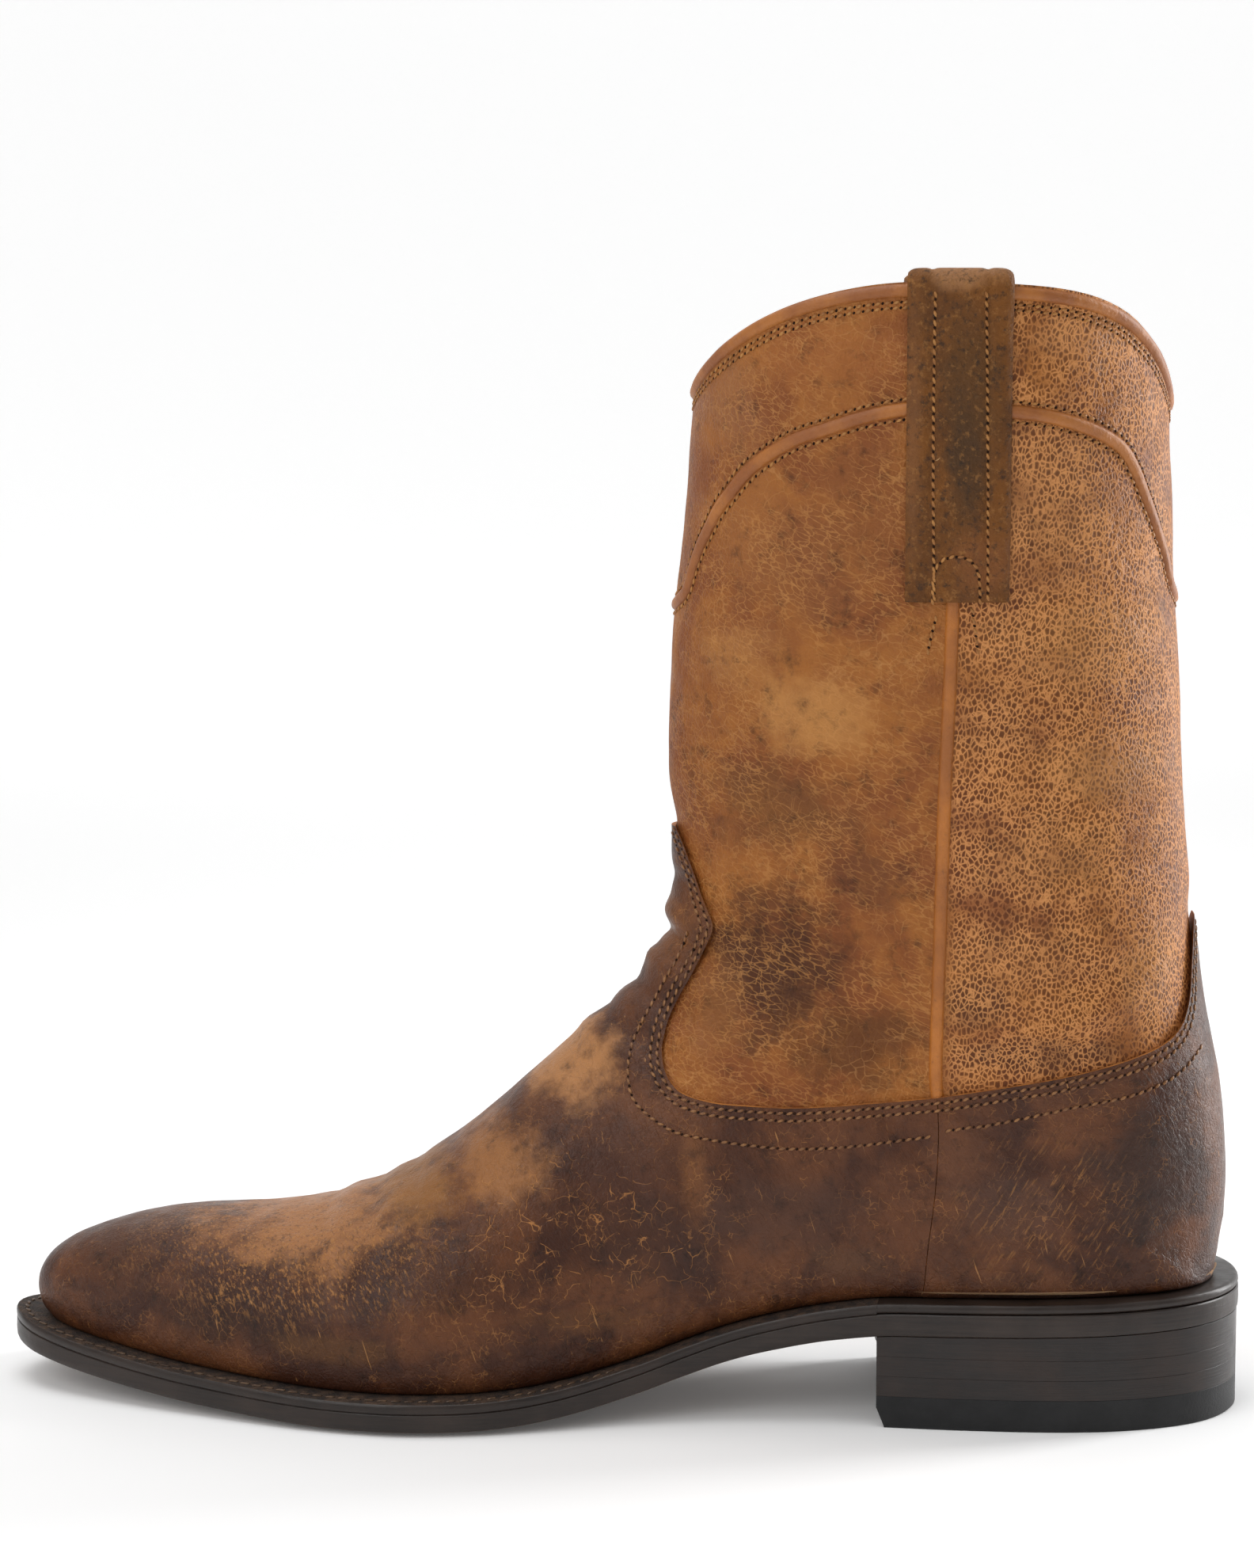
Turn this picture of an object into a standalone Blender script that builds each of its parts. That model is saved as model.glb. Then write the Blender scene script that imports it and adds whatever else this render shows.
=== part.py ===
"""A plain roper boot for the left foot: round toe, straight shaft, low stacked heel and two pull straps.

It stands on its sole. The toe points to -X, the outer side of the foot faces -Y, and Z is zero on the floor.
"""

import math

import bmesh
import bpy
import numpy as np
from mathutils import Vector
from mathutils.bvhtree import BVHTree

MM = 0.001

# Overall sizes
LENGTH = 307 * MM
BALL_WIDTH = 90.5 * MM
INSTEP_HEIGHT = 126 * MM
COLLAR_HEIGHT = 248.8 * MM
COLLAR_ARCH = 26.3 * MM
SHAFT_WIDTH = 92 * MM
HEEL_HEIGHT = 22.6 * MM
TOE_SPRING = 10 * MM
TOE_SWING = 6 * MM

# Leather and rubber thicknesses
UPPER_WALL = 2.3 * MM
OUTSOLE_THICK = 5.4 * MM
WELT_THICK = 2.4 * MM
INSOLE_THICK = 3 * MM
TOP_LIFT_THICK = 7.8 * MM
LEATHER_LIFT_THICK = 4.6 * MM
STRAP_THICK = 2 * MM

# Fits between neighbouring pieces
PIECE_GAP = 0.3 * MM
STRAP_GAP = 0.35 * MM
INSOLE_REST_GAP = 0.7 * MM
INSOLE_EDGE_GAP = 3 * MM
INSOLE_PLUG_GAP = 1.6 * MM
INSOLE_EDGE_SLOPE = 1.6 * MM

# Making of the bottom
FEATHER_TUCK = 2.6 * MM
LASTING_MARGIN = 7 * MM
WELT_UNDER = 6 * MM
CROWN_RISE = 1 * MM
CROWN_INSET = 9 * MM
EDGE_ROUND = 0.8 * MM
SIDE_BULGE = 2.1 * MM
TOE_REGION = 30.7 * MM
RAND_DOME = 1.2 * MM
BREAST_HOLLOW = 2.5 * MM
BREAST_SLANT = 2.3 * MM
BREAST_SLANT_HEIGHT = 5 * MM
BREAST_AT = 89.5 * MM
HEEL_INSET = 0.3 * MM

# Pull straps
STRAP_WIDTH = 24 * MM
STRAP_DROP = 74 * MM
STRAP_AT = 72 * MM
STRAP_REACH = 0.6 * MM

# Finish of each material: colour, then roughness
UPPER_LEATHER = ((0.25, 0.11, 0.035), 0.5)
SOLE_LEATHER = ((0.024, 0.017, 0.014), 0.35)
WELT_LEATHER = ((0.05, 0.03, 0.02), 0.6)
HEEL_LEATHER = ((0.026, 0.017, 0.013), 0.4)
HEEL_RUBBER = ((0.012, 0.011, 0.011), 0.55)
INSOLE_LEATHER = ((0.42, 0.27, 0.15), 0.8)
STRAP_LEATHER = ((0.075, 0.042, 0.025), 0.55)

# Fineness of the surfaces
MERGE_DISTANCE = 0.002 * MM
SAMPLES_PER_KEY = 20
TOE_STEPS = 30
HEEL_STEPS = 13
UPPER_ROWS = 45
TOP_STEPS = 8
SIDE_STEPS = 6
STRAP_COLUMNS = 4
STRAP_LEG_STEPS = 7
STRAP_ARC_STEPS = 6
BREAST_STEPS = 6

# Greatest outline of the foot seen from above, each row across the foot at one place.
# along: share of LENGTH from the heel back. outer, inner: share of BALL_WIDTH from the heel line.
OUTLINE_COLUMNS = ("along", "outer", "inner")
TOE_TIP = (0.9805, -0.066)
HEEL_BACK = (0.0128, 0.0)
OUTLINE = (
    (0.9743, 0.012, 0.143),
    (0.9577, 0.078, 0.222),
    (0.9251, 0.148, 0.309),
    (0.8730, 0.238, 0.392),
    (0.8208, 0.314, 0.452),
    (0.7687, 0.386, 0.496),
    (0.7231, 0.440, 0.517),
    (0.6678, 0.478, 0.510),
    (0.6124, 0.464, 0.464),
    (0.5537, 0.412, 0.392),
    (0.4886, 0.343, 0.313),
    (0.4235, 0.307, 0.275),
    (0.3583, 0.308, 0.279),
    (0.2932, 0.330, 0.313),
    (0.2280, 0.352, 0.344),
    (0.1629, 0.359, 0.357),
    (0.1107, 0.341, 0.341),
    (0.0651, 0.286, 0.286),
    (0.0358, 0.212, 0.212),
    (0.0180, 0.110, 0.110),
)

# Underside of the outsole. along: share of LENGTH. spring: share of TOE_SPRING. lift: share of HEEL_HEIGHT.
# crown: share of CROWN_RISE. ledge: width of sole beyond the foot, as a share of LENGTH.
BOTTOM_COLUMNS = ("along", "spring", "lift", "crown", "ledge")
BOTTOM = (
    (0.0000, 0.00, 1.070, 0.0, 0.0124),
    (0.1500, 0.00, 1.030, 0.0, 0.0118),
    (0.2300, 0.00, 1.010, 0.0, 0.0118),
    (0.2880, 0.00, 0.990, 0.0, 0.0122),
    (0.3310, 0.00, 0.905, 0.3, 0.0135),
    (0.3650, 0.00, 0.805, 0.5, 0.0150),
    (0.4000, 0.00, 0.680, 0.7, 0.0160),
    (0.4360, 0.00, 0.515, 0.8, 0.0170),
    (0.4760, 0.00, 0.320, 0.9, 0.0180),
    (0.5180, 0.00, 0.160, 1.0, 0.0188),
    (0.5600, 0.00, 0.055, 1.0, 0.0195),
    (0.6000, 0.00, 0.010, 1.0, 0.0200),
    (0.6400, 0.00, 0.000, 1.0, 0.0200),
    (0.7200, 0.00, 0.000, 1.0, 0.0200),
    (0.7600, 0.04, 0.000, 1.0, 0.0200),
    (0.8000, 0.11, 0.000, 1.0, 0.0198),
    (0.8450, 0.21, 0.000, 1.0, 0.0196),
    (0.8800, 0.33, 0.000, 1.0, 0.0194),
    (0.9120, 0.46, 0.000, 0.9, 0.0194),
    (0.9450, 0.62, 0.000, 0.8, 0.0194),
    (0.9770, 0.82, 0.000, 0.6, 0.0194),
    (1.0000, 1.00, 0.000, 0.5, 0.0194),
)

# Sections of the upper over the foot. Each runs from a point on the ridge down to the feather on both sides.
# front: ridge point, share of LENGTH. up: share of INSTEP_HEIGHT. end: feather point, share of the foot length.
# wide: share of the outline there. low: where the section is widest. top, side: fullness of its two quarters.
FOOT_COLUMNS = ("front", "up", "end", "wide", "low", "top", "side")
FOOT_SECTIONS = (
    (0.9805, 0.196, 1.0000, 1.00, 0.55, 0.60, 0.55),
    (0.9788, 0.216, 0.9980, 1.00, 0.55, 0.60, 0.55),
    (0.9730, 0.240, 0.9922, 1.00, 0.56, 0.60, 0.55),
    (0.9635, 0.262, 0.9826, 1.00, 0.57, 0.60, 0.55),
    (0.9498, 0.283, 0.9690, 1.00, 0.58, 0.60, 0.55),
    (0.9320, 0.301, 0.9510, 1.00, 0.60, 0.60, 0.55),
    (0.9105, 0.317, 0.9292, 1.00, 0.62, 0.60, 0.55),
    (0.8845, 0.329, 0.9033, 1.00, 0.64, 0.60, 0.55),
    (0.8550, 0.337, 0.8735, 1.00, 0.66, 0.60, 0.55),
    (0.8225, 0.343, 0.8405, 1.00, 0.68, 0.59, 0.55),
    (0.7880, 0.351, 0.8050, 1.00, 0.70, 0.58, 0.55),
    (0.7510, 0.365, 0.7680, 1.00, 0.72, 0.57, 0.55),
    (0.7150, 0.392, 0.7310, 1.00, 0.74, 0.55, 0.55),
    (0.6780, 0.433, 0.6940, 1.00, 0.76, 0.53, 0.55),
    (0.6420, 0.488, 0.6550, 1.00, 0.78, 0.51, 0.55),
    (0.6080, 0.553, 0.6140, 1.00, 0.79, 0.50, 0.55),
    (0.5760, 0.624, 0.5680, 1.01, 0.79, 0.49, 0.55),
    (0.5450, 0.692, 0.5180, 1.03, 0.78, 0.49, 0.55),
    (0.5170, 0.756, 0.4620, 1.07, 0.76, 0.49, 0.55),
    (0.4940, 0.812, 0.4020, 1.12, 0.74, 0.49, 0.55),
    (0.4770, 0.861, 0.3400, 1.13, 0.72, 0.49, 0.55),
    (0.4670, 0.897, 0.2760, 1.09, 0.71, 0.50, 0.56),
    (0.4610, 0.932, 0.2120, 1.04, 0.70, 0.50, 0.57),
    (0.4580, 0.962, 0.1500, 1.00, 0.70, 0.50, 0.58),
    (0.4570, 0.986, 0.0950, 0.985, 0.70, 0.50, 0.58),
    (0.4565, 1.006, 0.0500, 0.98, 0.70, 0.51, 0.58),
    (0.4565, 1.024, 0.0180, 0.98, 0.70, 0.51, 0.58),
    (0.4570, 1.042, 0.0000, 0.98, 0.70, 0.51, 0.58),
)

# Sections of the upper above the heel seat, each a closed hoop from the front of the leg to its back.
# front, back: share of LENGTH. up: share of the height from instep to collar. rise: share from seat to collar.
# wide: share of SHAFT_WIDTH. low: where the section is widest. top, side: fullness. arch: share of COLLAR_ARCH.
SHAFT_COLUMNS = ("front", "up", "back", "rise", "wide", "low", "top", "side", "arch")
SHAFT_SECTIONS = (
    (0.4572, 0.080, 0.0135, 0.065, 0.352, 0.69, 0.51, 0.58, 0.00),
    (0.4576, 0.125, 0.0130, 0.135, 0.356, 0.67, 0.52, 0.58, 0.00),
    (0.4586, 0.185, 0.0172, 0.205, 0.362, 0.65, 0.52, 0.58, 0.00),
    (0.4600, 0.260, 0.0262, 0.280, 0.372, 0.62, 0.53, 0.57, 0.00),
    (0.4604, 0.345, 0.0352, 0.360, 0.386, 0.60, 0.54, 0.57, 0.02),
    (0.4594, 0.435, 0.0424, 0.445, 0.403, 0.57, 0.55, 0.57, 0.05),
    (0.4572, 0.530, 0.0490, 0.535, 0.421, 0.55, 0.56, 0.57, 0.10),
    (0.4530, 0.625, 0.0532, 0.625, 0.440, 0.53, 0.56, 0.57, 0.20),
    (0.4486, 0.720, 0.0572, 0.720, 0.458, 0.52, 0.57, 0.57, 0.36),
    (0.4462, 0.815, 0.0620, 0.812, 0.474, 0.51, 0.57, 0.57, 0.56),
    (0.4440, 0.910, 0.0652, 0.905, 0.488, 0.50, 0.57, 0.57, 0.78),
    (0.4400, 1.000, 0.0672, 0.990, 0.500, 0.50, 0.57, 0.57, 1.00),
)

# Curve of the collar from its dips at the front and back up to the straps
ARCH_SOFTNESS = 0.2
ARCH_FRONT = 1.1
ARCH_BACK = 1.8


def clear_scene():
    for obj in list(bpy.data.objects):
        bpy.data.objects.remove(obj, do_unlink=True)


def between_rows(rows, at):
    """A smooth value of every column at a row number that needn't be whole."""
    rows = np.asarray(rows, float)
    last = len(rows) - 1
    i = min(int(at), last - 1)
    t = at - i
    before = rows[i - 1] if i > 0 else 2 * rows[0] - rows[1]
    after = rows[i + 2] if i + 2 <= last else 2 * rows[last] - rows[last - 1]
    start = rows[i]
    stop = rows[i + 1]
    straight = 2 * start + (stop - before) * t
    bend = (2 * before - 5 * start + 4 * stop - after) * t * t
    twist = (3 * start - before - 3 * stop + after) * t * t * t
    return (straight + bend + twist) / 2


def x_of(along):
    return LENGTH * (0.5 - along)


def bottom_at(x, column):
    """One column of the underside table at a place along the boot."""
    rows = np.asarray(BOTTOM)
    along = 0.5 - x / LENGTH
    at = np.interp(along, rows[:, 0], np.arange(len(rows)))
    return between_rows(rows, float(at))[BOTTOM_COLUMNS.index(column)]


def sole_bottom(x):
    return TOE_SPRING * bottom_at(x, "spring") + HEEL_HEIGHT * bottom_at(x, "lift")


def feather_height(x):
    """Height of the fold where the upper turns under onto the welt."""
    return sole_bottom(x) + OUTSOLE_THICK + WELT_THICK + 2 * PIECE_GAP


def outline_keys(column, turn):
    """The table's points down one side of the foot outline, from the toe tip to the heel back."""
    keys = [(x_of(TOE_TIP[0]), -TOE_TIP[1] * BALL_WIDTH)]
    for row in OUTLINE:
        keys.append((x_of(row[0]), turn * row[OUTLINE_COLUMNS.index(column)] * BALL_WIDTH))
    keys.append((x_of(HEEL_BACK[0]), HEEL_BACK[1] * BALL_WIDTH))
    return keys


def foot_outline():
    """Closed dense outline: down the outer side from the toe tip, round the heel and back up the inner side."""
    outer = outline_keys("outer", -1)
    inner = outline_keys("inner", 1)
    keys = outer + inner[-2:0:-1]
    count = len(keys)
    points = []
    for i in range(count):
        four = [keys[(i + step) % count] for step in (-1, 0, 1, 2)]
        for step in range(SAMPLES_PER_KEY):
            points.append(between_rows(four, 1 + step / SAMPLES_PER_KEY))
    points = np.array(points)
    along = np.roll(points, -1, axis=0) - np.roll(points, 1, axis=0)
    along /= np.linalg.norm(along, axis=1)[:, None]
    outward = np.stack([-along[:, 1], along[:, 0]], axis=1)
    outward *= -1 if outward[0, 0] > 0 else 1
    return points, outward


def even_places(points, first, last, steps):
    """Place numbers spaced evenly along the outline between two of its points."""
    run = points[first : last + 1]
    lengths = np.concatenate([[0], np.cumsum(np.linalg.norm(np.diff(run, axis=0), axis=1))])
    return first + np.interp(np.linspace(0, lengths[-1], steps + 1), lengths, np.arange(len(run)))


def station_places(points):
    """Places round the outline where the soles have their stations, with one at each side of the heel breast."""
    count = len(points)
    back = (len(OUTLINE) + 1) * SAMPLES_PER_KEY
    breast_x = LENGTH / 2 - BREAST_AT
    outer_breast = int(np.argmin(np.abs(points[:back, 0] - breast_x)))
    inner_breast = back + int(np.argmin(np.abs(points[back:, 0] - breast_x)))
    closed = np.vstack([points, points[:1]])
    parts = [
        even_places(closed, 0, outer_breast, TOE_STEPS)[:-1],
        even_places(closed, outer_breast, back, HEEL_STEPS)[:-1],
        even_places(closed, back, inner_breast, HEEL_STEPS)[:-1],
        even_places(closed, inner_breast, count, TOE_STEPS)[:-1],
    ]
    return np.concatenate(parts)


def at_places(values, places):
    """Values of a closed list read at places that needn't be whole."""
    closed = np.vstack([values, values[:1]])
    numbers = np.arange(len(closed))
    return np.stack([np.interp(places, numbers, closed[:, i]) for i in range(values.shape[1])], axis=1)


class Plan:
    """The foot outline with its outward directions, at the stations that all sole pieces share."""

    def __init__(self):
        self.points, self.outward = foot_outline()
        self.places = station_places(self.points)
        self.base = at_places(self.points, self.places)
        self.out = at_places(self.outward, self.places)
        self.ledge = np.array([LENGTH * bottom_at(x, "ledge") for x in self.base[:, 0]])

    def sole_edge(self, inset=0.0):
        return self.base + self.out * (self.ledge - inset)[:, None]

    def inside(self, inset):
        return self.base - self.out * inset

    def along_side(self, inner, inset):
        """Dense points down one side at an inset, from the toe tip to the heel back."""
        back = (len(OUTLINE) + 1) * SAMPLES_PER_KEY
        run = (self.points - self.outward * inset)[: back + 1]
        if inner:
            full = self.points - self.outward * inset
            run = np.vstack([full[:1], full[: back - 1 : -1]])
        return run


def raised(loop, height):
    """The flat loop lifted to a height worked out for each of its points."""
    return [(x, y, height(x)) for x, y in loop]


def above_bottom(lift):
    return lambda x: sole_bottom(x) + lift


def add_material(obj, name, finish):
    colour, roughness = finish
    material = bpy.data.materials.new(name)
    material.use_nodes = True
    shader = material.node_tree.nodes["Principled BSDF"]
    shader.inputs["Base Color"].default_value = (*colour, 1)
    shader.inputs["Roughness"].default_value = roughness
    shader.inputs["Metallic"].default_value = 0
    obj.data.materials.append(material)


def add_object(name, mesh_builder, finish):
    mesh = bpy.data.meshes.new(name)
    mesh_builder.to_mesh(mesh)
    mesh_builder.free()
    obj = bpy.data.objects.new(name, mesh)
    bpy.context.scene.collection.objects.link(obj)
    add_material(obj, name + "_finish", finish)
    return obj


def add_closed_object(name, mesh_builder, finish):
    """Merges the corners that meet, turns every face outward and adds the object."""
    bmesh.ops.remove_doubles(mesh_builder, verts=mesh_builder.verts[:], dist=MERGE_DISTANCE)
    bmesh.ops.recalc_face_normals(mesh_builder, faces=mesh_builder.faces[:])
    return add_object(name, mesh_builder, finish)


def side_walls(builder, rings):
    """Faces between each two rings that follow one another."""
    for lower, upper in zip(rings, rings[1:]):
        for i in range(len(lower)):
            j = (i + 1) % len(lower)
            builder.faces.new((lower[i], lower[j], upper[j], upper[i]))


def strip_cap(builder, ring):
    """A cap of strips across the boot between the outer and the inner side of a ring."""
    count = len(ring)
    half = count // 2
    for i in range(half):
        a = ring[i]
        b = ring[i + 1]
        c = ring[(count - i - 1) % count]
        d = ring[(count - i) % count]
        corners = [a]
        for corner in (b, c, d):
            if corner not in corners:
                corners.append(corner)
        builder.faces.new(corners)


def full_layer(name, loops, finish):
    """A layer as long as the boot, from its loops, lowest first."""
    builder = bmesh.new()
    rings = [[builder.verts.new(point) for point in loop] for loop in loops]
    side_walls(builder, rings)
    strip_cap(builder, rings[0])
    strip_cap(builder, rings[-1])
    return add_closed_object(name, builder, finish)


def outsole(plan):
    def crowned(lift):
        return lambda x: sole_bottom(x) + CROWN_RISE * bottom_at(x, "crown") + lift

    loops = [
        raised(plan.sole_edge(CROWN_INSET), above_bottom(0)),
        raised(plan.sole_edge(EDGE_ROUND), crowned(0)),
        raised(plan.sole_edge(0), crowned(EDGE_ROUND)),
        raised(plan.sole_edge(0), above_bottom(OUTSOLE_THICK - EDGE_ROUND / 2)),
        raised(plan.sole_edge(EDGE_ROUND / 2), above_bottom(OUTSOLE_THICK)),
    ]
    return full_layer("outsole", loops, SOLE_LEATHER)


def insole(plan):
    plug = plan.inside(FEATHER_TUCK + LASTING_MARGIN + INSOLE_PLUG_GAP)
    plate = plan.inside(FEATHER_TUCK + INSOLE_EDGE_GAP)
    plate_top = plan.inside(FEATHER_TUCK + INSOLE_EDGE_GAP + INSOLE_EDGE_SLOPE)
    floor = OUTSOLE_THICK + PIECE_GAP
    seat = OUTSOLE_THICK + WELT_THICK + UPPER_WALL + 2 * PIECE_GAP + INSOLE_REST_GAP
    loops = [
        raised(plug, above_bottom(floor)),
        raised(plug, above_bottom(seat)),
        raised(plate, above_bottom(seat)),
        raised(plate_top, above_bottom(seat + INSOLE_THICK)),
    ]
    return full_layer("insole", loops, INSOLE_LEATHER)


def capped_solid(name, loops, finish):
    """A solid through its loops in order, closed by a face at each end."""
    builder = bmesh.new()
    rings = [[builder.verts.new(point) for point in loop] for loop in loops]
    side_walls(builder, rings)
    builder.faces.new(rings[0][::-1])
    builder.faces.new(rings[-1])
    return add_closed_object(name, builder, finish)


def rim_sections(plan, indices, shift, top_drop, top_inset):
    """Cross-sections of the band under the edge of the upper. Both ends move by shift along the boot."""
    edge = plan.sole_edge(0)
    shoulder = plan.sole_edge(top_inset)
    under = plan.inside(FEATHER_TUCK + WELT_UNDER)
    low = OUTSOLE_THICK + PIECE_GAP
    high = low + WELT_THICK
    sections = []
    for i in indices:
        moved = shift if i in (indices[0], indices[-1]) else 0.0
        corners = (
            (edge[i], low),
            (edge[i], high - top_drop),
            (shoulder[i], high),
            (under[i], high),
            (under[i], low),
        )
        section = []
        for (x, y), lift in corners:
            section.append((x + moved, y, sole_bottom(x + moved) + lift))
        sections.append(section)
    return sections


def welt(plan):
    first = len(plan.places) - TOE_STEPS
    indices = [i % len(plan.places) for i in range(first, len(plan.places) + TOE_STEPS + 1)]
    sections = rim_sections(plan, indices, -PIECE_GAP / 2, EDGE_ROUND / 2, EDGE_ROUND / 2)
    return capped_solid("welt", sections, WELT_LEATHER)


def heel_rand(plan):
    indices = list(range(TOE_STEPS, TOE_STEPS + 2 * HEEL_STEPS + 1))
    sections = rim_sections(plan, indices, PIECE_GAP / 2, RAND_DOME / 2, RAND_DOME)
    return capped_solid("heel_rand", sections, SOLE_LEATHER)


def heel_loop(plan, setback, inset):
    """Outline of the heel: round the back from breast to breast, then across the hollow breast face."""
    edge = plan.sole_edge(inset)[TOE_STEPS : TOE_STEPS + 2 * HEEL_STEPS + 1].copy()
    edge[0, 0] += setback
    edge[-1, 0] += setback
    loop = [tuple(point) for point in edge]
    for step in range(1, BREAST_STEPS):
        t = step / BREAST_STEPS
        hollow = BREAST_HOLLOW * math.sin(math.pi * t)
        x = edge[-1, 0] + (edge[0, 0] - edge[-1, 0]) * t + hollow
        loop.append((x, edge[-1, 1] + (edge[0, 1] - edge[-1, 1]) * t))
    return loop


def top_lift(plan):
    bevel = EDGE_ROUND / 2
    setback = BREAST_SLANT * (1 - bevel / BREAST_SLANT_HEIGHT)
    loops = [
        raised(heel_loop(plan, BREAST_SLANT, HEEL_INSET + bevel), lambda x: 0.0),
        raised(heel_loop(plan, setback, HEEL_INSET), lambda x: bevel),
        raised(heel_loop(plan, 0, HEEL_INSET), lambda x: BREAST_SLANT_HEIGHT),
        raised(heel_loop(plan, 0, HEEL_INSET), lambda x: TOP_LIFT_THICK),
    ]
    return capped_solid("top_lift", loops, HEEL_RUBBER)


def heel_lifts(plan):
    """Two level leather lifts, and a third that fills up to the slope of the seat."""
    loop = heel_loop(plan, 0, HEEL_INSET)
    base = TOP_LIFT_THICK + PIECE_GAP
    for name in ("heel_lift_lower", "heel_lift_middle"):
        low = base
        high = base + LEATHER_LIFT_THICK
        loops = [raised(loop, lambda x, low=low: low), raised(loop, lambda x, high=high: high)]
        capped_solid(name, loops, HEEL_LEATHER)
        base = high + PIECE_GAP
    loops = [raised(loop, lambda x: base), raised(loop, above_bottom(-PIECE_GAP))]
    capped_solid("heel_lift_upper", loops, HEEL_LEATHER)


def quarter(start, stop, first, last, steps):
    """Points of a curve quarter in the section, given its two ends and the two handles between."""
    points = []
    for step in range(steps + 1):
        t = step / steps
        s = 1 - t
        weights = (s * s * s, 3 * s * s * t, 3 * s * t * t, t * t * t)
        points.append(sum(w * np.array(p) for w, p in zip(weights, (start, first, last, stop))))
    return points


def half_section(ridge_y, widest, low, end_y, top, side):
    """One side of a section as (share of the way from front to end, sideways place)."""
    upper = quarter(
        (0.0, ridge_y),
        (low, widest),
        (0.0, ridge_y + top * (widest - ridge_y)),
        (low * (1 - top), widest),
        TOP_STEPS,
    )
    lower = quarter(
        (low, widest),
        (1.0, end_y),
        (low + side * (1 - low), widest),
        (1.0, end_y + side * (widest - end_y)),
        SIDE_STEPS,
    )
    return upper + lower[1:]


def section_line(front, end, half, ridge_y, widest, arch):
    """The half section set between its two end points in the side view."""
    points = []
    reach = math.hypot(1, ARCH_SOFTNESS) - ARCH_SOFTNESS
    for i, (share, y) in enumerate(half):
        x = front[0] + (end[0] - front[0]) * share
        z = front[1] + (end[1] - front[1]) * share
        if arch:
            sideways = abs(y - ridge_y) / abs(widest - ridge_y)
            sideways = (math.hypot(sideways, ARCH_SOFTNESS) - ARCH_SOFTNESS) / reach
            if i <= TOP_STEPS:
                z += arch * sideways**ARCH_FRONT
            else:
                z += arch * (1 - (1 - sideways) ** ARCH_BACK)
        points.append((x, y, z))
    return points


def swing_at(x):
    """Sideways place of the ridge, which swings to the inner side towards the toe."""
    share = max(0.0, min(1.0, -x / LENGTH / (TOE_TIP[0] - 0.5)))
    return TOE_SWING * share * share * (3 - 2 * share)


def foot_line(plan, at, inner):
    row = dict(zip(FOOT_COLUMNS, between_rows(FOOT_SECTIONS, at)))
    turn = 1 if inner else -1
    feather = plan.along_side(inner, FEATHER_TUCK)
    margin = plan.along_side(inner, FEATHER_TUCK + LASTING_MARGIN)
    widest_run = plan.along_side(inner, 0)
    numbers = np.arange(len(feather))
    toe_x = feather[0, 0]
    back_x = feather[-1, 0]
    end_share = min(max(row["end"], 0.0), 1.0)
    end_x = back_x + (toe_x - back_x) * end_share
    place = np.interp(end_x, feather[:, 0], numbers)
    end_y = np.interp(place, numbers, feather[:, 1])
    front = (x_of(row["front"]), INSTEP_HEIGHT * row["up"])
    end = (end_x, feather_height(end_x))
    wide_x = front[0] + (end[0] - front[0]) * row["low"]
    ridge_y = swing_at(front[0])
    outline_y = np.interp(wide_x, widest_run[:, 0], widest_run[:, 1])
    widest = outline_y * row["wide"]
    if wide_x > toe_x + TOE_REGION:
        # Behind the toe the side of the foot always bulges out past its feather.
        widest = turn * max(turn * widest, turn * end_y + SIDE_BULGE)
    half = half_section(ridge_y, widest, row["low"], end_y, row["top"], row["side"])
    line = section_line(front, end, half, ridge_y, widest, 0.0)
    margin_x = np.interp(place, numbers, margin[:, 0])
    margin_y = np.interp(place, numbers, margin[:, 1])
    line.append((margin_x, margin_y, feather_height(margin_x)))
    return line


def shaft_line(at, inner):
    row = dict(zip(SHAFT_COLUMNS, between_rows(SHAFT_SECTIONS, at)))
    turn = 1 if inner else -1
    back_x = x_of(row["back"])
    seat = feather_height(x_of(HEEL_BACK[0]))
    front = (x_of(row["front"]), INSTEP_HEIGHT + (COLLAR_HEIGHT - INSTEP_HEIGHT) * row["up"])
    end = (back_x, seat + (COLLAR_HEIGHT - seat) * row["rise"])
    widest = turn * SHAFT_WIDTH * row["wide"]
    half = half_section(0.0, widest, row["low"], 0.0, row["top"], row["side"])
    return section_line(front, end, half, 0.0, widest, COLLAR_ARCH * row["arch"])


def upper_lines(plan, rows):
    """Every section as one line from the inner side over the ridge to the outer side."""
    foot = len(FOOT_SECTIONS) - 1
    shaft = len(SHAFT_SECTIONS)
    foot_rows = round(rows * foot / (foot + shaft))
    shaft_rows = rows - foot_rows
    lines = []
    for i in range(foot_rows + 1):
        at = foot * i / foot_rows
        lines.append((foot_line(plan, at, False), foot_line(plan, at, True)))
    for i in range(shaft_rows):
        at = (shaft - 1) * i / (shaft_rows - 1)
        lines.append((shaft_line(at, False), shaft_line(at, True)))
    return lines


def upper_skin(plan, rows):
    """Outer surface of the upper as an open mesh, folded in along the feather."""
    builder = bmesh.new()
    grid = []
    for outer, inner in upper_lines(plan, rows):
        whole = outer[::-1] + inner[1:]
        grid.append([builder.verts.new(point) for point in whole])
    for lower, higher in zip(grid, grid[1:]):
        trim = (len(lower) - len(higher)) // 2
        bottom = lower[trim : len(lower) - trim] if trim else lower
        for i in range(len(higher) - 1):
            if i < len(higher) // 2:
                builder.faces.new((bottom[i], higher[i], higher[i + 1]))
                builder.faces.new((bottom[i], higher[i + 1], bottom[i + 1]))
            else:
                builder.faces.new((bottom[i], higher[i], bottom[i + 1]))
                builder.faces.new((higher[i], higher[i + 1], bottom[i + 1]))
    bmesh.ops.remove_doubles(builder, verts=builder.verts[:], dist=MERGE_DISTANCE)
    builder.normal_update()
    return builder


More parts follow.
